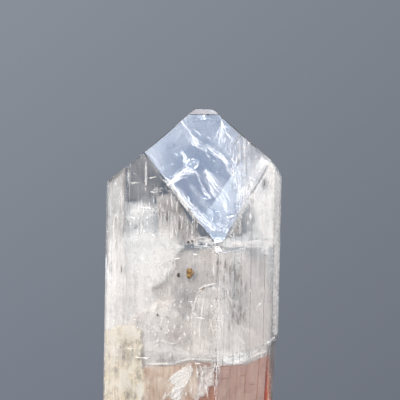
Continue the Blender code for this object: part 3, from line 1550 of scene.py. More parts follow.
@dataclass(frozen=True)
class Flecks:
    """Tiny cavities scattered over the veils by Geometry Nodes, thicker where a veil is milkier.

    The density is for a square metre. The size and how far under the faces they stay are in millimetres, and
    the spread and the height are shares of the size.
    """

    name: str
    density: float
    size: float
    spread: float
    tall: float
    seed: int
    under: float = 0.03

    def _tree(self, finish: Material) -> NodeTree:
        """The node tree, with named inputs for its sizes.

        Args:
            finish: the flecks' material.

        Returns:
            The tree.
        """
        made = bpy.data.node_groups.new(f"{self.name}_tree", "GeometryNodeTree")
        sizes = dict.fromkeys(("Density", "Size", "Spread", "Tall"), "Float")
        for label, kind in {"Geometry": "Geometry", **sizes, "Seed": "Int"}.items():
            made.interface.new_socket(label, in_out="INPUT", socket_type=f"NodeSocket{kind}")
        made.interface.new_socket("Geometry", in_out="OUTPUT", socket_type="NodeSocketGeometry")
        tree = Tree(made)
        given = tree.node("NodeGroupInput").outputs
        seed = {"Seed": given["Seed"]}
        milk = tree.value(tree.node("GeometryNodeInputNamedAttribute", {"data_type": "FLOAT"}, Name="milk"))
        density = milk ** 2.0 * tree.value(given["Density"])
        over = {"Mesh": given["Geometry"], "Density": density, **seed}
        scatter = tree.node("GeometryNodeDistributePointsOnFaces", {"distribute_method": "RANDOM"}, over)
        cone = {"Vertices": 3, "Side Segments": 1, "Radius Top": 0.0}
        cone.update({"Radius Bottom": given["Size"], "Depth": given["Size"]})
        fleck = tree.node("GeometryNodeMeshCone", None, cone)
        any_size = {2: given["Spread"], 3: 1.0, **seed}
        size = tree.value(tree.node("FunctionNodeRandomValue", {"data_type": "FLOAT"}, any_size).outputs[1])
        any_turn = {1: (0.6, 0.6, math.tau), **seed}
        turn = tree.node("FunctionNodeRandomValue", {"data_type": "FLOAT_VECTOR"}, any_turn)
        scale = tree.node("ShaderNodeCombineXYZ", X=size, Y=size, Z=size * tree.value(given["Tall"]))
        placed = tree.node(
            "GeometryNodeInstanceOnPoints", Points=scatter, Instance=fleck, Rotation=turn, Scale=scale
        )
        real = tree.node("GeometryNodeRealizeInstances", Geometry=placed)
        dressed = tree.node("GeometryNodeSetMaterial", Geometry=real, Material=finish)
        tree.node("NodeGroupOutput", Geometry=dressed)
        return made

    def build(
        self, sighting: Sighting, carriers: list[Object], finish: Material
    ) -> Object:
        """Scatter the flecks, clear of the crystal's faces.

        Args:
            sighting: holds the crystal's faces.
            carriers: the veil pieces that carry them.
            finish: their material.

        Returns:
            The flecks as one mesh.
        """
        nets = []
        for carrier in carriers:
            mesh = carrier.data
            marks = np.zeros(len(mesh.vertices), np.float32)
            mesh.attributes["milk"].data.foreach_get("value", marks)
            points = np.array([list(v.co) for v in mesh.vertices]) / MM
            nets.append((points, [tuple(face.vertices) for face in mesh.polygons], marks))
        bed = as_mesh(self.name, nets)
        modifier = bed.modifiers.new(self.name, "NODES")
        modifier.node_group = self._tree(finish)
        given = {"Density": self.density, "Size": self.size * MM, "Spread": self.spread, "Tall": self.tall}
        given["Seed"] = self.seed
        for item in modifier.node_group.interface.items_tree:
            if item.in_out == "INPUT" and item.name in given:
                modifier[item.identifier] = given[item.name]
        made = made_plain(bed)
        points = np.array([list(v.co) for v in made.data.vertices]) / MM
        made.data.vertices.foreach_set("co", (sighting.held_in(points, self.under) * MM).ravel())
        return made


# A stroke's half width and milkiness, as shares of its full width and milk
MIDDLE_OF_STROKE = (0.5, 1.0)
END_OF_STROKE = (0.22, 0.35)


def stroke(path: list[Spot], width: float, milk: float, depth: float = 0.6, **other: object) -> Veil:
    """A narrow veil along a path: the edge of a healed crack; with a dark grey finish, a line of painted
    shade.

    Args:
        path: pixels along its middle.
        width: its width at the middle, in pixels.
        milk: how milky it is.
        depth: how far it lies behind the face.
        other: further fields of the veil.

    Returns:
        The veil.
    """
    left = []
    right = []
    count = len(path) - 1
    for i, (x, y) in enumerate(path):
        ax, ay = path[max(i - 1, 0)]
        bx, by = path[min(i + 1, count)]
        long = math.hypot(bx - ax, by - ay)
        half_share, milk_share = MIDDLE_OF_STROKE if 0 < i < count else END_OF_STROKE
        half = width * half_share
        here = milk * milk_share
        left.append((x + (by - ay) / long * half, y - (bx - ax) / long * half, here))
        right.append((x - (by - ay) / long * half, y + (bx - ax) / long * half, here))
    values = {"fade": 0.25 * width, "spacing": max(0.7, width * 0.45), "rough": 0.5, "ripple": 0.08}
    return Veil(tuple(left + right[::-1]), depth=depth, **{**values, **other})


@dataclass(frozen=True)
class Hatch:
    """Upright strokes scattered over a part of the picture: the traces of growth lines inside the crystal;
    with a dark grey finish, strokes of painted shade.

    The box is left, top, right and bottom in pixels. Lengths and widths are the least and the greatest.
    """

    box: tuple[float, float, float, float]
    count: int
    milk: float
    long: Spot = (6.0, 20.0)
    wide: Spot = (0.8, 2.0)
    slant: float = 0.02
    depth: float = 0.5
    bow: float = 0.4
    uneven: Spot = (0.5, 1.2)
    spacing: float = 1.6

    def strokes(self, seed: int) -> list[Veil]:
        """Scatter them.

        Args:
            seed: the random seed.

        Returns:
            One veil for each stroke.
        """
        rng = random.Random(seed)
        left, top, right, bottom = self.box
        made = []
        for _ in range(self.count):
            x = rng.uniform(left, right)
            y = rng.uniform(top, bottom)
            half = rng.uniform(*self.long) / 2
            lean = rng.gauss(0.0, self.slant) * half
            bow = rng.uniform(-self.bow, self.bow)
            path = [(x - lean, y - half), (x + bow, y), (x + lean, y + half)]
            milk = self.milk * rng.uniform(*self.uneven)
            wide = rng.uniform(*self.wide)
            made.append(stroke(path, wide, milk, self.depth, spacing=self.spacing, fade=0.0))
        return made


@dataclass(frozen=True)
class Feather:
    """Fine wisps that follow a path: a healed crack seen at a slant.

    Each point of the path has its place and the feather's half width there, in pixels.
    """

    path: tuple[tuple[float, float, float], ...]
    count: int
    milk: float
    wide: Spot = (0.5, 1.5)
    share: Spot = (0.12, 0.4)
    depth: float = 0.9
    deeper: float = 0.7
    steps: int = 5
    off_path: float = 0.5
    drift: float = 0.35
    wiggle: float = 0.07
    uneven: Spot = (0.35, 1.2)
    spacing: float = 1.6
    shortest_step: float = 0.3

    def _at(self, share: float, across: float) -> Spot:
        """A spot of the feather.

        Args:
            share: how far along the path, from 0 to 1.
            across: how far to the side, from -1 to 1.

        Returns:
            The spot in pixels.
        """
        where = min(max(share, 0.0), 0.9999) * (len(self.path) - 1)
        i = int(where)
        (ax, ay, a_half), (bx, by, b_half) = self.path[i], self.path[i + 1]
        part = where - i
        half = (a_half + (b_half - a_half) * part) * across
        long = math.hypot(bx - ax, by - ay)
        x = ax + (bx - ax) * part + (by - ay) / long * half
        y = ay + (by - ay) * part - (bx - ax) / long * half
        return x, y

    def strokes(self, seed: int) -> list[Veil]:
        """Draw the wisps.

        Args:
            seed: the random seed.

        Returns:
            One veil for each wisp.
        """
        rng = random.Random(seed)
        made = []
        for _ in range(self.count):
            long = rng.uniform(*self.share)
            start = rng.uniform(-0.3 * long, 1.0 - 0.7 * long)
            side = max(-1.0, min(1.0, rng.gauss(0.0, self.off_path)))
            drift = rng.gauss(0.0, self.drift)
            spots = []
            for step in range(self.steps):
                part = step / (self.steps - 1)
                across = side + drift * (part - 0.5) + rng.gauss(0.0, self.wiggle)
                spots.append(self._at(start + long * part, across))
            longer = [math.dist(a, b) > self.shortest_step for a, b in zip(spots, spots[1:])]
            spots = spots[:1] + [spot for spot, kept in zip(spots[1:], longer) if kept]
            if len(spots) < 3:
                continue
            milk = self.milk * rng.uniform(*self.uneven)
            deep = self.depth + rng.uniform(0.0, self.deeper)
            wide = rng.uniform(*self.wide)
            made.append(stroke(spots, wide, milk, deep, spacing=self.spacing, fade=0.0, rough=0.3))
        return made


@dataclass(frozen=True)
class Film:
    """One piece of the inside: its veils by name, its hatches and its finish.

    Layers are the depths, in millimetres, at which each veil is repeated behind its first sheet.
    """

    finish: Haze
    veils: dict[str, Veil]
    hatches: tuple[Hatch, ...] = ()
    layers: tuple[float, ...] = (0.0,)
    sleeves: tuple[Sleeve, ...] = ()
    feathers: tuple[Feather, ...] = ()

    def nets(self, sighting: Sighting, seed: int) -> list[Sheet]:
        """Lift every veil and stroke into the crystal.

        Args:
            sighting: finds the points behind the picture's pixels.
            seed: the random seed.

        Returns:
            Points, faces and milkiness of each.
        """
        veils = [
            replace(veil, depth=veil.depth + more) for veil in self.veils.values() for more in self.layers
        ]
        for i, scattered in enumerate(self.hatches + self.feathers):
            veils += scattered.strokes(seed + 31 * i)
        return [veil.net(sighting, seed + i) for i, veil in enumerate(veils)]


WHITE = rgb(0.94, 0.94, 0.94)
ROSY = rgb(0.93, 0.895, 0.875)
BRIGHT = rgb(0.93, 0.925, 0.925)
BRIGHT_MILK = rgb(0.89, 0.88, 0.875)
MILK = rgb(0.775, 0.745, 0.73)
ROSY_MILK = rgb(0.78, 0.725, 0.70)


def body_film() -> Film:
    """The half clear, warmer part of the body.

    Returns:
        The film.
    """
    veils = {
        "middle": Veil(
            ((180, 247, 0.75), (215, 246, 0.75), (250, 250, 0.4), (262, 280, 0.25), (262, 330, 0.25),
             (235, 345, 0.5), (200, 345, 0.5), (150, 330, 0.6), (146, 296, 0.7), (162, 270, 0.7)),
            inner=((228, 272, 0.05), (238, 302, 0.0), (190, 302, 0.2), (188, 275, 0.35), (205, 260, 0.7),
                   (162, 293, 0.7)),
            depth=1.6, fade=5.0, rough=3.0,
        ),
        "above_the_break": Veil(
            ((120, 326, 0.7), (160, 298, 0.7), (190, 322, 0.4), (205, 306, 0.25), (222, 306, 0.25),
             (245, 326, 0.6), (270, 342, 0.6), (262, 360, 0.9), (225, 370, 1.0), (190, 368, 0.9),
             (160, 371, 0.9), (120, 371, 0.8)),
            depth=1.0, fade=2.0, rough=3.0,
        ),
        "over_the_front_edge": stroke(
            [(218, 252), (218.5, 300), (219.5, 354)], 9.0, 0.45, 0.2, spacing=1.3, fade=4.0, rough=2.5,
        ),
        "right_of_the_edge": Veil(
            ((240, 246, 0.15), (271, 246, 0.12), (272, 337, 0.2), (262, 350, 0.4), (246, 352, 0.3),
             (240, 315, 0.1)),
            depth=1.2, ripple=0.15,
        ),
        "shoulder_windows": Veil(
            ((127, 158, 0.04), (145, 150, 0.05), (163, 176, 0.03), (160, 200, 0.08), (127, 200, 0.08)),
            depth=1.0,
        ),
        "striated_zone": Veil(
            ((156, 196, 0.3), (172, 192, 0.25), (192, 222, 0.25), (204, 240, 0.35), (186, 246, 0.6),
             (158, 236, 0.5)),
            depth=1.0,
        ),
    }
    finish = Haze("milky_veil", MILK, ROSY_MILK, cover=0.68, streaks=0.25, cloud=0.6, grain=0.15)
    return Film(finish, veils, (Hatch((150, 250, 270, 345), 60, 0.6, (3, 14), (0.8, 2.0)),), (0.0, 1.5, 3.2))


def bright_film() -> Film:
    """The whitest clouds: the left of the body and the strip right of the tall front face.

    Returns:
        The film.
    """
    veils = {
        "left_body": Veil(
            ((112, 222, 0.05), (126, 230, 0.05), (140, 224, 0.15), (154, 230, 0.2), (164, 228, 0.5),
             (176, 236, 0.8), (188, 246, 1.1), (184, 252, 1.3), (176.6, 262, 1.3), (171.5, 274, 1.3),
             (166, 282, 1.2), (152, 290, 1.1), (160, 300, 0.9), (172, 302, 0.8), (180, 315, 0.7),
             (178, 330, 0.7), (150, 335, 0.8), (120, 330, 0.9), (108, 300, 0.9), (108, 250, 0.9)),
            inner=((142, 266, 1.2), (160, 260, 1.3), (145, 310, 1.1), (122, 262, 0.6), (130, 246, 0.35),
                   (146, 244, 0.6), (116, 300, 0.8)),
            depth=1.3, fade=6.0, rough=4.0,
        ),
        "left_shoulder": Veil(
            ((127, 199, 0.05), (143, 196, 0.08), (157, 196, 0.05), (158, 245, 0.3), (127, 245, 0.25)),
            inner=((138, 213, 0.4), (134, 228, 0.12), (150, 230, 0.15), (152, 212, 0.2)),
            depth=0.8, fade=6.0, rough=4.0,
        ),
        "narrow_left": Veil(
            ((108, 184, 0.2), (124, 170, 0.2), (126, 240, 0.2), (124, 330, 0.4), (104, 330, 0.4),
             (106, 240, 0.2)),
            depth=0.9,
        ),
        "beside_the_front_face": Veil(
            ((244, 204, 0.1), (256, 182, 0.5), (270, 161, 1.5), (279, 172, 1.2), (279, 240, 1.2),
             (246, 240, 0.2)),
            inner=((274, 182, 0.5), (264, 184, 0.0), (258, 194, 0.6), (249, 210, 0.05), (250, 232, 0.05),
                   (260, 206, 1.2), (270, 200, 1.3), (262, 222, 1.0), (272, 226, 1.4), (252, 220, 0.05)),
            depth=0.9, fade=1.0,
        ),
        "narrow_right": Veil(
            ((272, 168, 0.8), (281, 176, 0.9), (281, 333, 1.4), (273, 337, 1.4)),
            depth=0.35, fade=0.2, rough=0.3,
        ),
        "lower_right_of_front": Veil(
            ((226, 240, 0.3), (246, 240, 0.3), (276, 238, 0.7), (276, 246, 0.8), (226, 246, 0.5)),
            depth=1.0, fade=3.0, rough=3.0,
        ),
    }
    veils["low_cloud"] = Veil(
        ((146, 314, 0.6), (155, 304, 0.9), (166, 305, 0.6), (170, 320, 0.35), (165, 338, 0.5),
         (180, 348, 0.5), (204, 352, 0.5), (226, 350, 0.6), (246, 353, 0.9), (238, 363, 1.0),
         (190, 360, 0.7), (148, 364, 0.8), (138, 348, 0.7)),
        depth=0.9, fade=3.0, rough=4.0,
    )
    finish = Haze("bright_veil", BRIGHT, BRIGHT_MILK, cover=0.72, streaks=0.25, cloud=0.45, grain=0.12)
    hatches = (Hatch((110, 205, 180, 330), 30, 0.5, (3, 14), (0.8, 2.0)),)
    return Film(finish, veils, hatches, (0.0, 1.4, 3.0))


def arch_film() -> Film:
    """The arched veil low in the body, with lines that fan out downwards.

    Returns:
        The film.
    """
    veils = {
        "arch": Veil(
            ((199, 290, 0.5), (209, 284, 0.6), (221, 282, 0.6), (229, 295, 0.4), (236, 312, 0.3),
             (244, 330, 0.4), (246, 352, 0.6), (222, 360, 0.7), (195, 354, 0.5), (190, 330, 0.3),
             (193, 310, 0.3)),
            inner=((213, 320, 0.1), (212, 298, 0.4)), depth=0.8, fade=0.8,
        ),
        "left_limb": stroke([(199, 290), (195.5, 300), (192, 316), (190.5, 332)], 1.8, 0.9),
        "right_limb": stroke([(222, 283), (228, 295), (234, 310), (243, 328)], 1.5, 1.0),
        "crown": stroke([(199, 290), (204, 286), (212, 284.5), (221, 282)], 2.6, 1.2),
        "bright_rib": stroke([(221, 302), (222.5, 316), (223, 330)], 3.0, 1.1),
        "fanning_rib": stroke([(226, 302), (232, 330), (240, 352)], 1.5, 0.9),
    }
    finish = Haze("arch_veil", BRIGHT_MILK, ROSY, cover=0.85, streaks=1.1, cloud=0.4, upright=0.06)
    fan = Feather(
        ((211, 286, 6.0), (213, 318, 16.0), (216, 354, 26.0)),
        44, 0.6, (0.5, 1.3), (0.2, 0.6), 0.6,
    )
    return Film(finish, veils, feathers=(fan,))


def front_film() -> Film:
    """Soft mist behind the tall front face, between its clear windows.

    Returns:
        The film.
    """
    veils = {
        "right_third": Veil(
            ((240, 139, 0.08), (252, 147, 0.1), (269, 160, 0.16), (254, 182, 0.12), (238, 205, 0.1),
             (230, 218, 0.06), (236, 196, 0.1), (238, 165, 0.07)),
            depth=1.5, fade=1.5,
        ),
        "under_the_spire": Veil(
            ((214, 122, 0.0), (226, 124, 0.06), (238, 137, 0.12), (240, 160, 0.12), (238, 190, 0.14),
             (226, 176, 0.1), (226, 160, 0.05), (214, 146, 0.06), (210, 138, 0.05)),
            depth=1.3, fade=5.0, rough=4.0,
        ),
        "slope_mist": Veil(
            ((196, 170, 0.1), (208, 170, 0.1), (226, 178, 0.14), (240, 194, 0.12), (234, 216, 0.08),
             (221, 234, 0.05), (219, 218, 0.12), (212, 200, 0.14), (204, 186, 0.12)),
            depth=1.1, fade=4.0, rough=4.0,
        ),
        "left_mist": Veil(
            ((178, 122, 0.06), (190, 130, 0.08), (198, 142, 0.1), (190, 150, 0.03), (168, 148, 0.02),
             (160, 162, 0.12), (166, 180, 0.2), (158, 176, 0.15), (147, 154, 0.06), (160, 138, 0.05)),
            depth=1.0, fade=4.0, rough=4.0,
        ),
        "low_window": Veil(
            ((186, 182, 0.16), (196, 186, 0.16), (212, 206, 0.16), (216, 222, 0.18), (200, 206, 0.18)),
            depth=1.4, fade=2.0,
        ),
        "rim_mist": Veil(
            ((165, 180, 0.25), (174, 182, 0.25), (184, 196, 0.25), (196, 207, 0.25), (208, 220, 0.25),
             (216, 229, 0.2), (214, 232, 0.2), (203, 222, 0.25), (184, 203, 0.25), (170, 186, 0.2)),
            depth=0.7, fade=2.0, rough=2.0,
        ),
    }
    finish = Haze(
        "front_veil", ROSY, WHITE, cover=0.8, streaks=0.7, cloud=0.7, filaments=0.3, grain=0.4, octaves=5.0,
    )
    return Film(finish, veils, (Hatch((236, 140, 250, 212), 40, 0.35, (8, 44), (0.4, 1.1), 0.01, 1.2),))


def feather_film() -> Film:
    """Feathery healed cracks behind the front face.

    Returns:
        The film.
    """
    fine = (0.35, 1.0)
    feathers = {
        "streak_top": Feather(
            ((180, 120, 0.6), (187, 128, 1.2), (192, 137, 2.0)),
            16, 0.35, fine, (0.15, 0.5),
        ),
        "long_streak": Feather(
            ((190, 134, 2.4), (198, 143, 4.0), (210, 149, 3.6), (220, 156, 3.0), (229, 167, 2.4)),
            56, 0.42, fine,
        ),
        "streak_knot": Feather(
            ((191, 137, 2.0), (195, 142, 3.4), (199, 146, 2.0)),
            20, 0.6, fine, (0.3, 0.8),
        ),
        "spire": Feather(
            ((221.5, 121, 0.4), (221.5, 129, 2.5), (222, 138, 7.0), (222, 148, 11.0)),
            60, 0.34, fine, (0.15, 0.45),
        ),
        "spire_edge": Feather(
            ((221.5, 120, 0.5), (226, 132, 1.0), (232, 140, 1.6), (240, 144, 1.5)),
            14, 0.5, fine,
        ),
        "right_of_spire": Feather(
            ((230, 138, 5.0), (233, 152, 6.0), (235, 170, 5.0), (234, 190, 5.0)),
            54, 0.36, fine, (0.05, 0.25),
        ),
        "white_cloud": Feather(
            ((170, 183, 1.5), (178, 176, 4.0), (186, 171.5, 5.0), (196, 173, 2.5)),
            60, 0.46, (0.5, 1.4), (0.2, 0.6),
        ),
        "cloud_tail": Feather(
            ((194, 170, 1.5), (200, 180, 2.0), (205, 192, 1.6), (211, 199, 1.0)),
            18, 0.45, fine,
        ),
        "white_slope": Feather(
            ((205, 168, 2.0), (210, 180, 5.0), (217, 190, 6.0), (225, 202, 5.0), (227, 214, 3.0)),
            84, 0.3, (0.4, 1.3), (0.06, 0.3),
        ),
        "lower_left_rim": Feather(
            ((164, 178, 2.0), (172, 184, 3.2), (179, 194, 3.4), (189, 207, 3.4), (200, 218, 3.2),
             (210, 227, 2.5), (215, 231, 1.5)),
            110, 0.55, fine, (0.04, 0.18), 0.6,
        ),
        "inner_rim": Feather(
            ((186, 198, 1.5), (196, 209, 1.5), (207, 219, 1.5), (212, 225, 1.0)),
            18, 0.6, fine,
        ),
        "left_rim": Feather(((150, 153, 1.0), (158, 164, 2.0), (166, 178, 2.0)), 14, 0.3, fine),
        "riser": Feather(((181, 150, 0.8), (186, 158, 2.0), (184, 168, 3.0)), 18, 0.55, fine, (0.3, 0.8)),
        "middle_arc": Feather(((204, 148, 1.0), (209, 156, 1.5), (216, 163, 1.0)), 10, 0.4, fine),
        "outer_arc": Feather(
            ((216, 154, 1.5), (224, 160, 1.5), (228, 168, 2.0), (234, 176, 2.0)),
            16, 0.4, fine,
        ),
        "crossing_wisp": Feather(((190, 128, 1.0), (200, 134, 1.5), (212, 138, 1.5)), 9, 0.3, fine),
        "steps": Feather(
            ((205, 170, 2.0), (214, 178, 3.0), (225, 190, 4.0), (231, 202, 2.0)),
            26, 0.3, fine,
        ),
    }
    veils = {
        "hook": stroke([(202, 189), (204.5, 194), (209.8, 197.7)], 1.5, 1.1),
        "silver_top": stroke([(188, 160.5), (193, 159), (199.5, 161.5)], 1.3, 1.2),
        "silver_second": stroke([(187, 163), (193, 161.8), (198, 163)], 1.0, 1.0),
        "silver_side": stroke([(199.5, 161.5), (196, 166), (193, 168.5)], 1.2, 1.2),
        "silver_foot": stroke([(186, 165.5), (190, 164), (195, 166)], 1.2, 1.1),
        "left_dash": stroke([(168.5, 166), (172, 164), (177, 164.5)], 1.1, 0.7),
        "low_dash": stroke([(167, 174), (171, 177), (176, 174.5)], 1.2, 0.6),
        "ring": stroke([(216.5, 168.5), (217, 172), (220.5, 174)], 0.9, 0.8),
        "ring_foot": stroke([(220, 174), (222, 171.5), (226, 173)], 0.9, 0.8),
        "small_bar": stroke([(227, 168), (231, 167), (235, 167.5)], 1.1, 0.6),
    }
    finish = Haze(
        "feather_veil", WHITE, WHITE, cover=0.9, filaments=0.3, streaks=0.4, grain=0.6, cloud=0.4,
        octaves=5.0,
    )
    return Film(finish, veils, feathers=tuple(feathers.values()))


def edge_film() -> Film:
    """The bright rims of healed cracks in the body.

    Returns:
        The film.
    """
    veils = {
        "window_bar": stroke([(145.5, 153), (145.8, 175), (145.5, 197)], 3.4, 0.75, depth=0.9),
        "left_cross_bar": stroke([(127, 183), (134, 183), (142, 182.3)], 2.4, 0.85),
        "right_cross_bar": stroke([(145, 178.6), (151, 177.8), (158, 176.4)], 1.9, 0.9),
        "slanting_wisp": stroke([(129, 164), (132, 172), (140, 178)], 1.0, 0.5),
        "shoulder_edge": stroke([(128.5, 163), (128.2, 175), (128, 197)], 1.7, 0.65),
        "short_bar": stroke([(142, 184), (141.6, 200)], 2.2, 0.6),
        "break_at_the_right": stroke([(278.3, 334.5), (274, 338), (268, 341)], 2.2, 0.9, depth=0.35),
        "break_below_it": stroke([(271, 350), (262, 353), (254, 356), (246, 361)], 2.4, 0.8, depth=0.35),
        "brightest_break": stroke(
            [(252, 356), (242, 361), (236, 362.3), (228, 361), (219, 358)],
            6.5, 1.4, depth=0.3,
        ),
        "break_to_the_left": stroke(
            [(222, 361), (204, 359.5), (190, 358.8), (171, 363.5), (152, 364), (143, 363)],
            2.6, 1.0, depth=0.35,
        ),
        "crack_rim": stroke(
            [(184, 251), (195, 245.7), (207, 246.4), (217, 246.4), (228, 249.6)],
            1.2, 0.9, depth=0.4,
        ),
        "crack_rim_right": stroke([(228, 249.6), (240, 246), (254, 247), (268, 246)], 1.2, 0.8, depth=0.4),
        "crack_band": Veil(
            ((186, 243, 0.2), (200, 237, 0.0), (215, 238, 0.0), (240, 237, 0.0), (262, 237, 0.0),
             (277, 238, 0.1), (277, 248, 0.6), (262, 248, 0.5), (240, 247, 0.5), (228, 248, 0.5),
             (210, 245.5, 0.6), (195, 245.5, 0.6)),
            depth=0.7, fade=1.2, rough=3.0,
        ),
        "beside_the_ridge": Veil(
            ((270, 160, 0.9), (276, 168, 0.9), (265, 180, 0.5), (250, 203, 0.2), (239, 222, 0.0),
             (230, 236, 0.0), (229, 232, 0.1), (240, 208, 0.4), (256, 184, 0.8)),
            depth=0.6, fade=1.2, rough=1.0,
        ),
        "bright_patch": Veil(
            ((258, 243, 0.6), (271, 243, 0.8), (271, 258, 0.6), (262, 256, 0.3)),
            depth=0.6, fade=3.0, rough=3.0,
        ),
        "arch_crown": stroke([(197, 291), (204, 286), (213, 284), (221, 283)], 1.6, 0.9),
        "arch_left": stroke([(197, 291), (194, 303), (191.5, 318), (190.5, 334)], 1.2, 0.7),
        "arch_right": stroke([(222, 283), (228, 295), (235, 310), (243, 328), (248, 345)], 1.2, 0.8),
        "shard_top": stroke([(164, 386), (172, 377), (181, 371), (191, 362)], 3.4, 1.2, depth=0.25),
        "shard_middle": stroke([(167, 390), (176, 381), (186, 375), (192, 368)], 2.6, 1.0, depth=0.25),
        "shard_low": stroke([(168, 395), (176, 389), (184, 386), (190, 378)], 2.8, 1.0, depth=0.25),
        "shard_foot": stroke([(170, 400), (177, 396), (181, 391)], 3.4, 1.1, depth=0.25),
        "shard_haze": Veil(
            ((164, 387, 0.9), (176, 373, 0.9), (192, 362, 0.7), (193, 374, 0.7), (184, 392, 0.8),
             (176, 408, 0.9)),
            depth=0.3,
        ),
        "pale_streaks": Veil(
            ((176, 402, 0.8), (184, 380, 0.5), (196, 366, 0.5), (217, 364, 0.6), (218, 384, 0.5),
             (209, 388, 0.6), (198, 404, 0.7), (190, 410, 0.8)),
            depth=0.6, rough=2.0, fade=3.0,
        ),
        "arch_plume": stroke([(213, 260), (213.5, 270), (215, 281)], 3.0, 0.55),
        "arch_shoulder": stroke([(195, 295), (200, 289.5), (207, 285.5)], 3.4, 1.0),
        "arch_inner_left": stroke([(205, 288), (202, 308), (199.5, 330), (199, 350)], 2.2, 0.65),
        "arch_inner_right": stroke([(221, 305), (231, 318), (242, 331)], 1.3, 1.0),
        "arch_long_right": stroke([(216, 263), (224, 282), (232, 301), (243, 329)], 1.2, 0.8),
        "arch_white_rib": stroke([(221.5, 312), (222, 321), (222.5, 332)], 3.2, 0.9),
        "left_crackle": stroke([(120, 300), (131, 294), (140, 297)], 1.2, 0.7),
        "lower_crackle": stroke([(146, 346), (160, 340), (173, 344), (184, 338)], 1.4, 0.8),
        "middle_crackle": stroke([(150, 322), (156, 330), (168, 333)], 1.4, 0.8),
        "right_crackle": stroke([(236, 332), (241, 341), (252, 347)], 1.4, 0.8),
    }
    finish = Haze("crack_edge", WHITE, ROSY, cover=1.2, filaments=0.3, streaks=0.4, grain=0.8, cloud=0.6)
    hatches = (
        Hatch((127, 197, 158, 240), 22, 0.7, (3, 10), (0.8, 1.8)),
        Hatch((157, 195, 198, 240), 40, 0.8, (4, 14), (0.6, 1.4), 0.12),
        Hatch((110, 190, 126, 330), 16, 0.4, (8, 30), (0.7, 1.6)),
        Hatch((246, 180, 278, 240), 16, 0.8, (4, 12), (0.9, 2.4)),
        Hatch((145, 296, 195, 356), 40, 0.9, (2, 8), (0.8, 2.2), 0.5),
        Hatch((172, 366, 220, 400), 30, 0.8, (4, 14), (0.7, 1.6), 0.15, depth=0.35),
    )
    feathers = (
        Feather(((129, 213, 5.0), (142, 211, 7.0), (156, 214, 5.0)), 22, 0.3, (0.7, 2.2), (0.2, 0.6), 0.6),
        Feather(((152, 192, 3.0), (162, 188, 5.0), (172, 193, 3.0)), 22, 0.32, (0.4, 1.1), (0.1, 0.3), 0.6),
        Feather(((186, 241, 3.0), (200, 239, 4.0), (212, 240, 4.0)), 24, 0.5, (0.5, 1.4), (0.1, 0.4)),
        Feather(((230, 244, 2.0), (250, 243, 2.0), (276, 240, 4.0)), 20, 0.5, (0.5, 1.4), (0.1, 0.4), 0.6),
        Feather(((166, 402, 5.0), (174, 386, 6.0), (190, 366, 4.0)), 64, 1.0, (0.7, 2.2), (0.1, 0.35), 0.25),
        Feather(((206, 362, 12.0), (204, 376, 12.0), (202, 392, 6.0)), 26, 0.6, (0.7, 2.0), (0.3, 0.8), 0.4),
        Feather(((268, 162, 2.0), (274, 172, 4.0), (270, 186, 4.0)), 18, 0.8, (0.8, 2.4), (0.3, 0.8), 0.5),
        Feather(((217, 354, 3.0), (230, 356, 5.0), (246, 356, 3.0)), 26, 0.8, (0.6, 1.8), (0.1, 0.4), 0.4),
        Feather(
            ((222, 266, 3.0), (231, 290, 4.0), (238, 310, 4.0), (245, 330, 3.0)),
            30, 0.5, (0.4, 1.0), (0.08, 0.3),
        ),
        Feather(((196, 300, 3.0), (198, 322, 4.0), (197, 348, 5.0)), 26, 0.5, (0.4, 1.1), (0.1, 0.5)),
    )
    return Film(finish, veils, hatches, feathers=feathers)


def painted_shade_film() -> Film:
    """Painted shade: dark sheets and upright dark strokes where a band holds no milk and the clear crystal
    reads darker.

    Returns:
        The film.
    """
    veils = {
        "right_line": stroke([(271.7, 251), (271.2, 290), (270.6, 335)], 2.0, 0.8, depth=0.4),
        "left_line": stroke([(124.5, 190), (124.8, 215), (125, 240)], 1.4, 0.7, depth=0.4),
        "outer_left_line": stroke([(117, 222), (116, 240), (115.5, 262)], 1.6, 0.7, depth=0.4),
        "short_left_line": stroke([(120.5, 266), (121.8, 272), (122.5, 277)], 1.1, 0.9, depth=0.4),
        "under_the_shard": stroke([(189.5, 358), (183, 368), (174, 379)], 1.6, 0.8, depth=0.4),
        "dark_triangle": Veil(
            ((231, 236, 0.7), (241, 214, 0.7), (246, 218, 0.4), (245, 237, 0.5)),
            depth=0.5,
        ),
        "dark_spot": Veil(
            ((261, 177, 0.5), (268, 177, 0.7), (268, 190, 0.6), (262, 190, 0.4)),
            depth=0.35, fade=2.5, rough=2.0,
        ),
        "dark_slash": stroke([(253, 256), (253.5, 261), (253, 266)], 2.6, 0.8, depth=0.5),
    }
    # A dark grey finish that paints shade onto these sheets and strokes.
    finish = Haze(
        "painted_shade_streak", rgb(0.18, 0.155, 0.145), rgb(0.27, 0.245, 0.235), cover=0.8, streaks=1.0,
        cloud=0.6,
    )
    # Upright strokes of painted shade.
    hatches = (
        Hatch((157, 196, 180, 226), 24, 0.7, (8, 24), (0.8, 2.4)),
        Hatch((172, 205, 204, 240), 46, 0.8, (6, 20), (0.8, 2.4)),
        Hatch((216, 262, 242, 284), 44, 0.9, (5, 16), (0.9, 2.6), 0.05),
        Hatch((229, 284, 247, 322), 44, 0.85, (5, 18), (0.9, 2.6), 0.08),
        Hatch((182, 292, 195, 314), 16, 0.7, (4, 12), (0.9, 2.2), 0.08),
        Hatch((184, 264, 214, 284), 14, 0.5, (4, 12), (0.9, 2.2), 0.2),
        Hatch((246, 186, 255, 240), 16, 0.5, (4, 12), (1.0, 2.4)),
        Hatch((112, 200, 128, 320), 12, 0.5, (4, 20), (0.7, 1.3)),
        Hatch((128, 215, 270, 345), 40, 0.4, (2, 8), (0.7, 1.3), 0.1),
    )
    return Film(finish, veils, hatches)


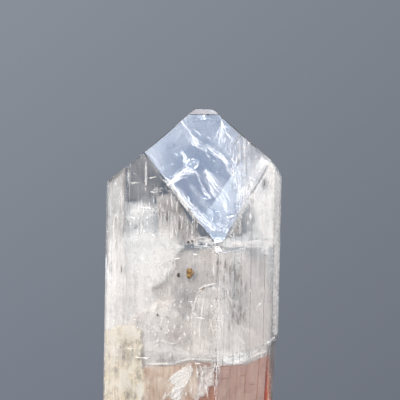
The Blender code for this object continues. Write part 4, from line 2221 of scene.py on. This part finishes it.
def foot_films() -> dict[str, Film]:
    """The rose, tan, cream and red films of the foot.

    Returns:
        The films by the names of their pieces.
    """
    cream = {
        "cream": Veil(
            ((103, 330, 0.6), (120, 324, 0.8), (142, 328, 0.8), (143, 366, 0.9), (152, 384, 0.8),
             (140, 404, 0.9), (134, 540, 0.9), (100, 540, 0.9)),
            depth=0.5, rough=2.5,
        ),
    }
    rose = {
        "rose": Veil(
            ((143, 367, 0.7), (171, 366, 0.7), (190, 361, 0.6), (222, 363, 0.8), (246, 364, 0.95),
             (272, 352, 0.95), (275, 540, 1.0), (130, 540, 0.9), (142, 404, 0.8)),
            inner=((215, 380, 0.6), (255, 385, 1.0)), depth=0.7, fade=0.8,
        ),
    }
    tan = {
        "tan": Veil(
            ((143, 366, 0.8), (171, 365, 0.8), (190, 361, 0.6), (200, 362, 0.5), (198, 400, 0.5),
             (210, 540, 0.6), (130, 540, 0.8), (142, 404, 0.8)),
            depth=0.45, fade=2.0,
        ),
        "blush": Veil(
            ((214, 260, 0.08), (236, 256, 0.12), (270, 256, 0.17), (271, 344, 0.17), (246, 350, 0.12),
             (226, 300, 0.06)),
            depth=0.6, fade=4.0,
        ),
    }
    red = {
        "red_line": stroke([(267.5, 352), (267.3, 375), (266.6, 400), (266, 425)], 4.0, 1.1, depth=0.45),
        "thin_red_line": stroke([(222.5, 366), (222.6, 380), (222, 392)], 1.2, 0.6, depth=0.45),
    }
    # Rose, tan, cream and red tints low in the crystal, warmer and darker than the body's veils.
    cream_finish = Haze(
        "cream_tint", rgb(0.78, 0.69, 0.53), rgb(0.84, 0.81, 0.74), cover=0.95, grain=0.8, cloud=0.9,
    )
    rose_finish = Haze(
        "rose_tint", rgb(0.38, 0.17, 0.12), rgb(0.46, 0.25, 0.185), cover=1.1, streaks=0.4, cloud=0.15,
    )
    tan_finish = Haze(
        "tan_tint", rgb(0.66, 0.53, 0.43), rgb(0.74, 0.65, 0.57), cover=0.95, streaks=0.5, cloud=0.3,
    )
    red_finish = Haze("red_tint", rgb(0.30, 0.06, 0.04), rgb(0.38, 0.11, 0.08), cover=1.0, streaks=0.6)
    return {
        "cream_film": Film(cream_finish, cream, sleeves=(Sleeve((4, 5, 6)),)),
        "rose_film": Film(rose_finish, rose, sleeves=(Sleeve((1, 2, 3)),)),
        "tan_film": Film(tan_finish, tan),
        "red_film": Film(red_finish, red),
    }


class GapPlane(Enum):
    """The planes that small gaps lie in."""

    LEVEL = "level"
    PRISM = "along a broad prism face"
    ASKEW = "askew"


@dataclass(frozen=True)
class Plates:
    """Small flat gas gaps along the crystal's own planes. The box is in pixels, sizes are in millimetres."""

    box: tuple[float, float, float, float] = (112, 196, 274, 356)
    count: int = 90
    size: Spot = (0.35, 1.5)
    depth: Spot = (0.5, 6.0)
    half_gap: float = 0.008
    corners: int = 7
    level_share: float = 0.35
    prism_share: float = 0.35
    seed: int = 5

    def _plane(self, rng: random.Random) -> GapPlane:
        """Draw the kind of a gap's plane.

        Args:
            rng: the random source.

        Returns:
            The kind.
        """
        drawn = rng.random()
        if drawn < self.level_share:
            return GapPlane.LEVEL
        return GapPlane.PRISM if drawn < self.level_share + self.prism_share else GapPlane.ASKEW

    @staticmethod
    def _normal(plane: GapPlane, rng: random.Random) -> Vector:
        """The normal of one gap.

        Args:
            plane: the kind of its plane.
            rng: the random source.

        Returns:
            A unit vector.
        """
        if plane is GapPlane.LEVEL:
            return Vector((rng.gauss(0.0, 0.06), rng.gauss(0.0, 0.06), 1.0)).normalized()
        if plane is GapPlane.PRISM:
            turn = math.radians(A_TURN + rng.choice((BROAD, -BROAD, QUARTER_TURN, 0.0)) + rng.gauss(0.0, 4.0))
            return Vector((math.cos(turn), math.sin(turn), rng.gauss(0.0, 0.08))).normalized()
        return Vector([rng.gauss(0.0, 1.0) for _ in range(3)]).normalized()

    def _shell(self, sighting: Sighting, rng: random.Random, i: int) -> Sheet | None:
        """Make one gap.

        Args:
            sighting: finds the points behind the picture's pixels.
            rng: the random source.
            i: the gap's number.

        Returns:
            Points, faces and half widths, or nothing where it would reach a face.
        """
        left, top, right, bottom = self.box
        spot = np.array([(rng.uniform(left, right), rng.uniform(top, bottom))])
        centre = sighting.look_in(spot, np.array([rng.uniform(*self.depth)]))
        normal = self._normal(self._plane(rng), rng)
        across = normal.orthogonal().normalized()
        along = normal.cross(across)
        reach = rng.uniform(*self.size) * rng.uniform(0.4, 1.0)
        ring = []
        for corner in range(self.corners):
            turn = math.tau * corner / self.corners
            x = reach * rng.uniform(0.5, 1.0) * math.cos(turn)
            ring.append((x, reach * rng.uniform(0.4, 1.0) * math.sin(turn)))
        flat = Net.over(ring, reach * 0.45, reach * 0.1, i)
        points = centre + flat.spots[:, :1] * np.array(across) + flat.spots[:, 1:] * np.array(along)
        if np.abs(sighting.held_in(points) - points).max() > 1e-6:
            return None
        return gap_shell(points, flat.faces, np.full(len(points), self.half_gap))

    def shells(self, sighting: Sighting) -> list[Sheet]:
        """Make every gap.

        Args:
            sighting: finds the points behind the picture's pixels.

        Returns:
            Points, faces and half widths of each.
        """
        rng = random.Random(self.seed)
        made = [self._shell(sighting, rng, i) for i in range(self.count)]
        return [shell for shell in made if shell is not None]


@dataclass(frozen=True)
class LevelCrack:
    """A rippled open crack across the crystal, up to its left and back bounds. Millimetres."""

    seed: int
    height: float
    rise: Spot
    left: float
    back: float = 20.0
    spacing: float = 0.45
    rough: float = 0.15
    swell: float = 1.3
    ripple: float = 0.05
    ripples: float = 2.4
    start: Spot = (9.0, -6.0)
    half_gap: float = 0.02
    thinnest: float = 0.002
    rim_fade: float = 0.6
    inset: float = 0.975
    set_back: float = 0.4

    def shell(self, habit: Habit) -> Sheet:
        """Make the gap.

        Args:
            habit: the crystal's faces.

        Returns:
            Points, faces and half widths.
        """
        shift = habit.middle()
        corners = habit.corners(self.set_back)
        ring = [((c.x - shift.x) * self.inset, (c.y - shift.y) * self.inset) for c in corners]
        flat = Net.over(ring, self.spacing, self.rough, self.seed)
        x = flat.spots[:, 0]
        y = flat.spots[:, 1]
        wave = np.array([noise.noise(Vector((a * 0.16, b * 0.16, self.seed))) for a, b in flat.spots])
        rings = np.sin(np.hypot(x - self.start[0], y - self.start[1]) * self.ripples) * self.ripple
        z = self.height + x * self.rise[0] + y * self.rise[1] + wave * self.swell + rings
        kept = [
            face for face in flat.faces
            if min(x[i] for i in face) > self.left and max(y[i] for i in face) < self.back
        ]
        points, faces, rim = trimmed(np.stack([x, y, z], axis=1), kept, flat.rim)
        return gap_shell(points, faces, self.half_gap * eased(rim, 0.0, self.rim_fade) + self.thinnest)


@dataclass(frozen=True)
class Grains:
    """Opaque grains of one kind: each has its place in pixels and its half sizes in millimetres."""

    finish: Matt
    lumps: tuple[tuple[Spot, tuple[float, float, float]], ...]
    depth: float = 0.62
    bumps: float = 0.28

    def build(self, name: str, sighting: Sighting) -> Object:
        """Make the piece.

        Args:
            name: its name.
            sighting: finds the points behind the picture's pixels.

        Returns:
            The grains as one mesh.
        """
        mesh = bmesh.new()
        for i, (spot, half) in enumerate(self.lumps):
            centre = sighting.look_in(np.array([spot]), np.array([self.depth]))[0]
            for vert in bmesh.ops.create_icosphere(mesh, subdivisions=3, radius=1.0)["verts"]:
                swell = 1.0 + self.bumps * noise.noise(vert.co * 1.7 + Vector((i * 5.0, 0.0, 0.0)))
                vert.co = Vector([c + h * swell * v for c, h, v in zip(centre, half, vert.co)])
        mesh.transform(Matrix.Scale(MM, 4))
        piece = as_object(name, mesh)
        piece.data.materials.append(self.finish.build())
        return piece


@dataclass
class Interior:
    """Everything that grew or healed inside, with sheets of painted shade: veils, crack gaps, tinted films
    and grains.
    """

    sighting: Sighting
    habit: Habit
    seed: int = 7
    curtains: tuple[Curtain, ...] = (
        Curtain(58.0, 6.2, 1.0, 37.0, 0.6), Curtain(50.0, 5.0, 1.0, 31.0, 0.4),
        Curtain(143.2, 8.2, 1.0, 37.0, 0.6), Curtain(152.0, 7.0, 1.0, 33.0, 0.4),
        Curtain(238.0, 5.6, 1.0, 36.0, 0.5), Curtain(-36.8, 7.6, 1.0, 34.0, 0.35),
        Curtain(10.6, 8.6, 1.0, 38.0, 0.5), Curtain(190.6, 8.6, 1.0, 38.0, 0.5),
    )
    glitter: Flecks = Flecks("gas_cavities", 4.0e6, 0.24, 0.25, 0.14, 12)
    glittering: tuple[str, ...] = ("milk_body", "milk_bright", "milk_arch", "crack_edges")
    flecks: tuple[tuple[Flecks, tuple[str, ...]], ...] = (
        (Flecks("body_flecks", 1.6e7, 0.07, 0.2, 1.6, 3), ("milk_body", "milk_bright")),
        (Flecks("bright_flecks", 1.2e8, 0.06, 0.2, 1.3, 4), ("feathers", "crack_edges")),
        (Flecks("foot_flecks", 2.0e7, 0.06, 0.2, 1.4, 5), ("cream_film", "rose_film")),
        (Flecks("deep_flecks", 1.6e7, 0.07, 0.2, 1.5, 6), ("deep_curtains",)),
    )
    gaps: tuple[Veil, ...] = (
        Veil(
            ((183, 166, 1), (188, 157, 1), (200, 159, 1), (199, 165, 1), (192, 171, 1)),
            depth=1.6, lean=(0.12, -0.15),
        ),
        Veil(((206, 206, 1), (222, 212, 1), (222, 232, 1), (214, 230, 1)), depth=1.8, lean=(0.1, -0.1)),
        Veil(
            ((196, 290, 1), (221, 282, 1), (232, 300, 1), (244, 330, 1), (215, 345, 1), (194, 330, 1)),
            depth=2.2, lean=(0.0, 0.08), ripple=0.8,
        ),
        Veil(((228, 214, 1), (242, 214, 1), (242, 236, 1), (224, 236, 1)), depth=2.6, lean=(-0.1, 0.1)),
    )

    cracks: tuple[LevelCrack, ...] = (
        LevelCrack(5, 39.2, (0.02, 0.03), -3.0, -6.0),
        LevelCrack(9, 23.4, (0.10, 0.05), 1.0),
    )
    gap_width: float = 0.015
    grains: dict[str, Grains] = field(
        default_factory=lambda: {
            "brown_grain": Grains(
                BROWN_GRAIN,
                (
                    ((189.6, 271.6), (0.5, 0.45, 0.48)),
                    ((189.2, 275.6), (0.45, 0.4, 0.4)),
                    ((191.6, 273.4), (0.3, 0.3, 0.42)),
                ),
            ),
            "dark_grains": Grains(
                DARK_GRAIN,
                (
                    ((178.3, 275.0), (0.24, 0.2, 0.3)),
                    ((157.5, 315.0), (0.14, 0.14, 0.16)),
                    ((161.0, 328.5), (0.07, 0.07, 0.2)),
                    ((264.7, 183.3), (0.16, 0.2, 0.45)),
                    ((121.5, 269.0), (0.07, 0.1, 0.5)),
                    ((188.0, 242.0), (0.2, 0.2, 0.2)),
                    ((192.0, 241.0), (0.17, 0.2, 0.2)),
                    ((167.0, 317.0), (0.09, 0.1, 0.2)),
                ),
            ),
        }
    )

    @staticmethod
    def _dressed(
        name: str, nets: list[Sheet], finish: Material, mark: str = "milk"
    ) -> Object:
        """Join nets into one dressed piece.

        Args:
            name: the piece's name.
            nets: its nets.
            finish: its material.
            mark: the attribute that keeps the net's last column.

        Returns:
            The piece.
        """
        piece = as_mesh(name, nets, mark)
        piece.data.materials.append(finish)
        piece.data.shade_smooth()
        return piece

    def _veils(self) -> list[Object]:
        """Make the veils, the tinted films and the sheets of painted shade.

        Returns:
            One piece for each film, and the curtains deep in the body.
        """
        films = {
            "milk_body": body_film(),
            "milk_bright": bright_film(),
            "milk_arch": arch_film(),
            "milk_front": front_film(),
            "feathers": feather_film(),
            "crack_edges": edge_film(),
            "painted_shade_streaks": painted_shade_film(),
            **foot_films(),
        }
        pieces = []
        for i, (name, film) in enumerate(films.items()):
            nets = film.nets(self.sighting, self.seed + 97 * i)
            for sleeve in film.sleeves:
                nets += sleeve.nets(self.habit, self.sighting, self.seed)
            pieces.append(self._dressed(name, nets, film.finish.build()))
        nets = [curtain.net(self.sighting, 40 + i) for i, curtain in enumerate(self.curtains)]
        deep = Haze("deep_veil", MILK, ROSY_MILK, cover=0.8, streaks=0.4, grain=0.2)
        return [*pieces, self._dressed("deep_curtains", nets, deep.build())]

    def _cavities(self, veils: dict[str, Object]) -> list[Object]:
        """Scatter cavities over the veils.

        Args:
            veils: the veils by name.

        Returns:
            The milky flecks and the clear ones.
        """
        white = BRIGHT_WALL.build()
        pieces = []
        for flecks, carriers in self.flecks:
            pieces.append(flecks.build(self.sighting, [veils[name] for name in carriers], white))
        carriers = [veils[name] for name in self.glittering]
        return [*pieces, self.glitter.build(self.sighting, carriers, GasGap("cavity_gas").build())]

    def _open_cracks(self) -> Object:
        """Make the open cracks.

        Returns:
            The gaps behind the picture's bright spots, the small plates and the level cracks as one piece.
        """
        shells = []
        for i, gap in enumerate(self.gaps):
            points, faces, _ = gap.net(self.sighting, 80 + i)
            shells.append(gap_shell(points, faces, np.full(len(points), self.gap_width)))
        shells += Plates().shells(self.sighting)
        shells += [crack.shell(self.habit) for crack in self.cracks]
        return self._dressed("open_cracks", shells, GasGap().build(), "gap")

    def build(self) -> list[Object]:
        """Make every inner piece.

        Returns:
            The pieces in order.
        """
        pieces = self._veils()
        pieces += self._cavities({piece.name: piece for piece in pieces})
        pieces.append(self._open_cracks())
        pieces += [grains.build(name, self.sighting) for name, grains in self.grains.items()]
        return pieces


def main() -> None:
    """Build the crystal and its studio."""
    logging.basicConfig(level=logging.INFO, format="%(name)s: %(message)s")
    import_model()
    noise.seed_set(NOISE_SEED)
    camera = PhotoCamera()
    habit = Habit()
    skin = CrystalSkin(habit).build(ClearCrystal().build())
    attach(skin, "root")
    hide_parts("crystal")
    LOG.info("crystal_skin: %d faces", len(skin.data.polygons))
    for piece in Interior(Sighting(camera, habit), habit).build():
        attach(piece, "root")
        LOG.info("%s: %d faces", piece.name, len(piece.data.polygons))
    Studio(camera).build()


if __name__ == "__main__":
    main()
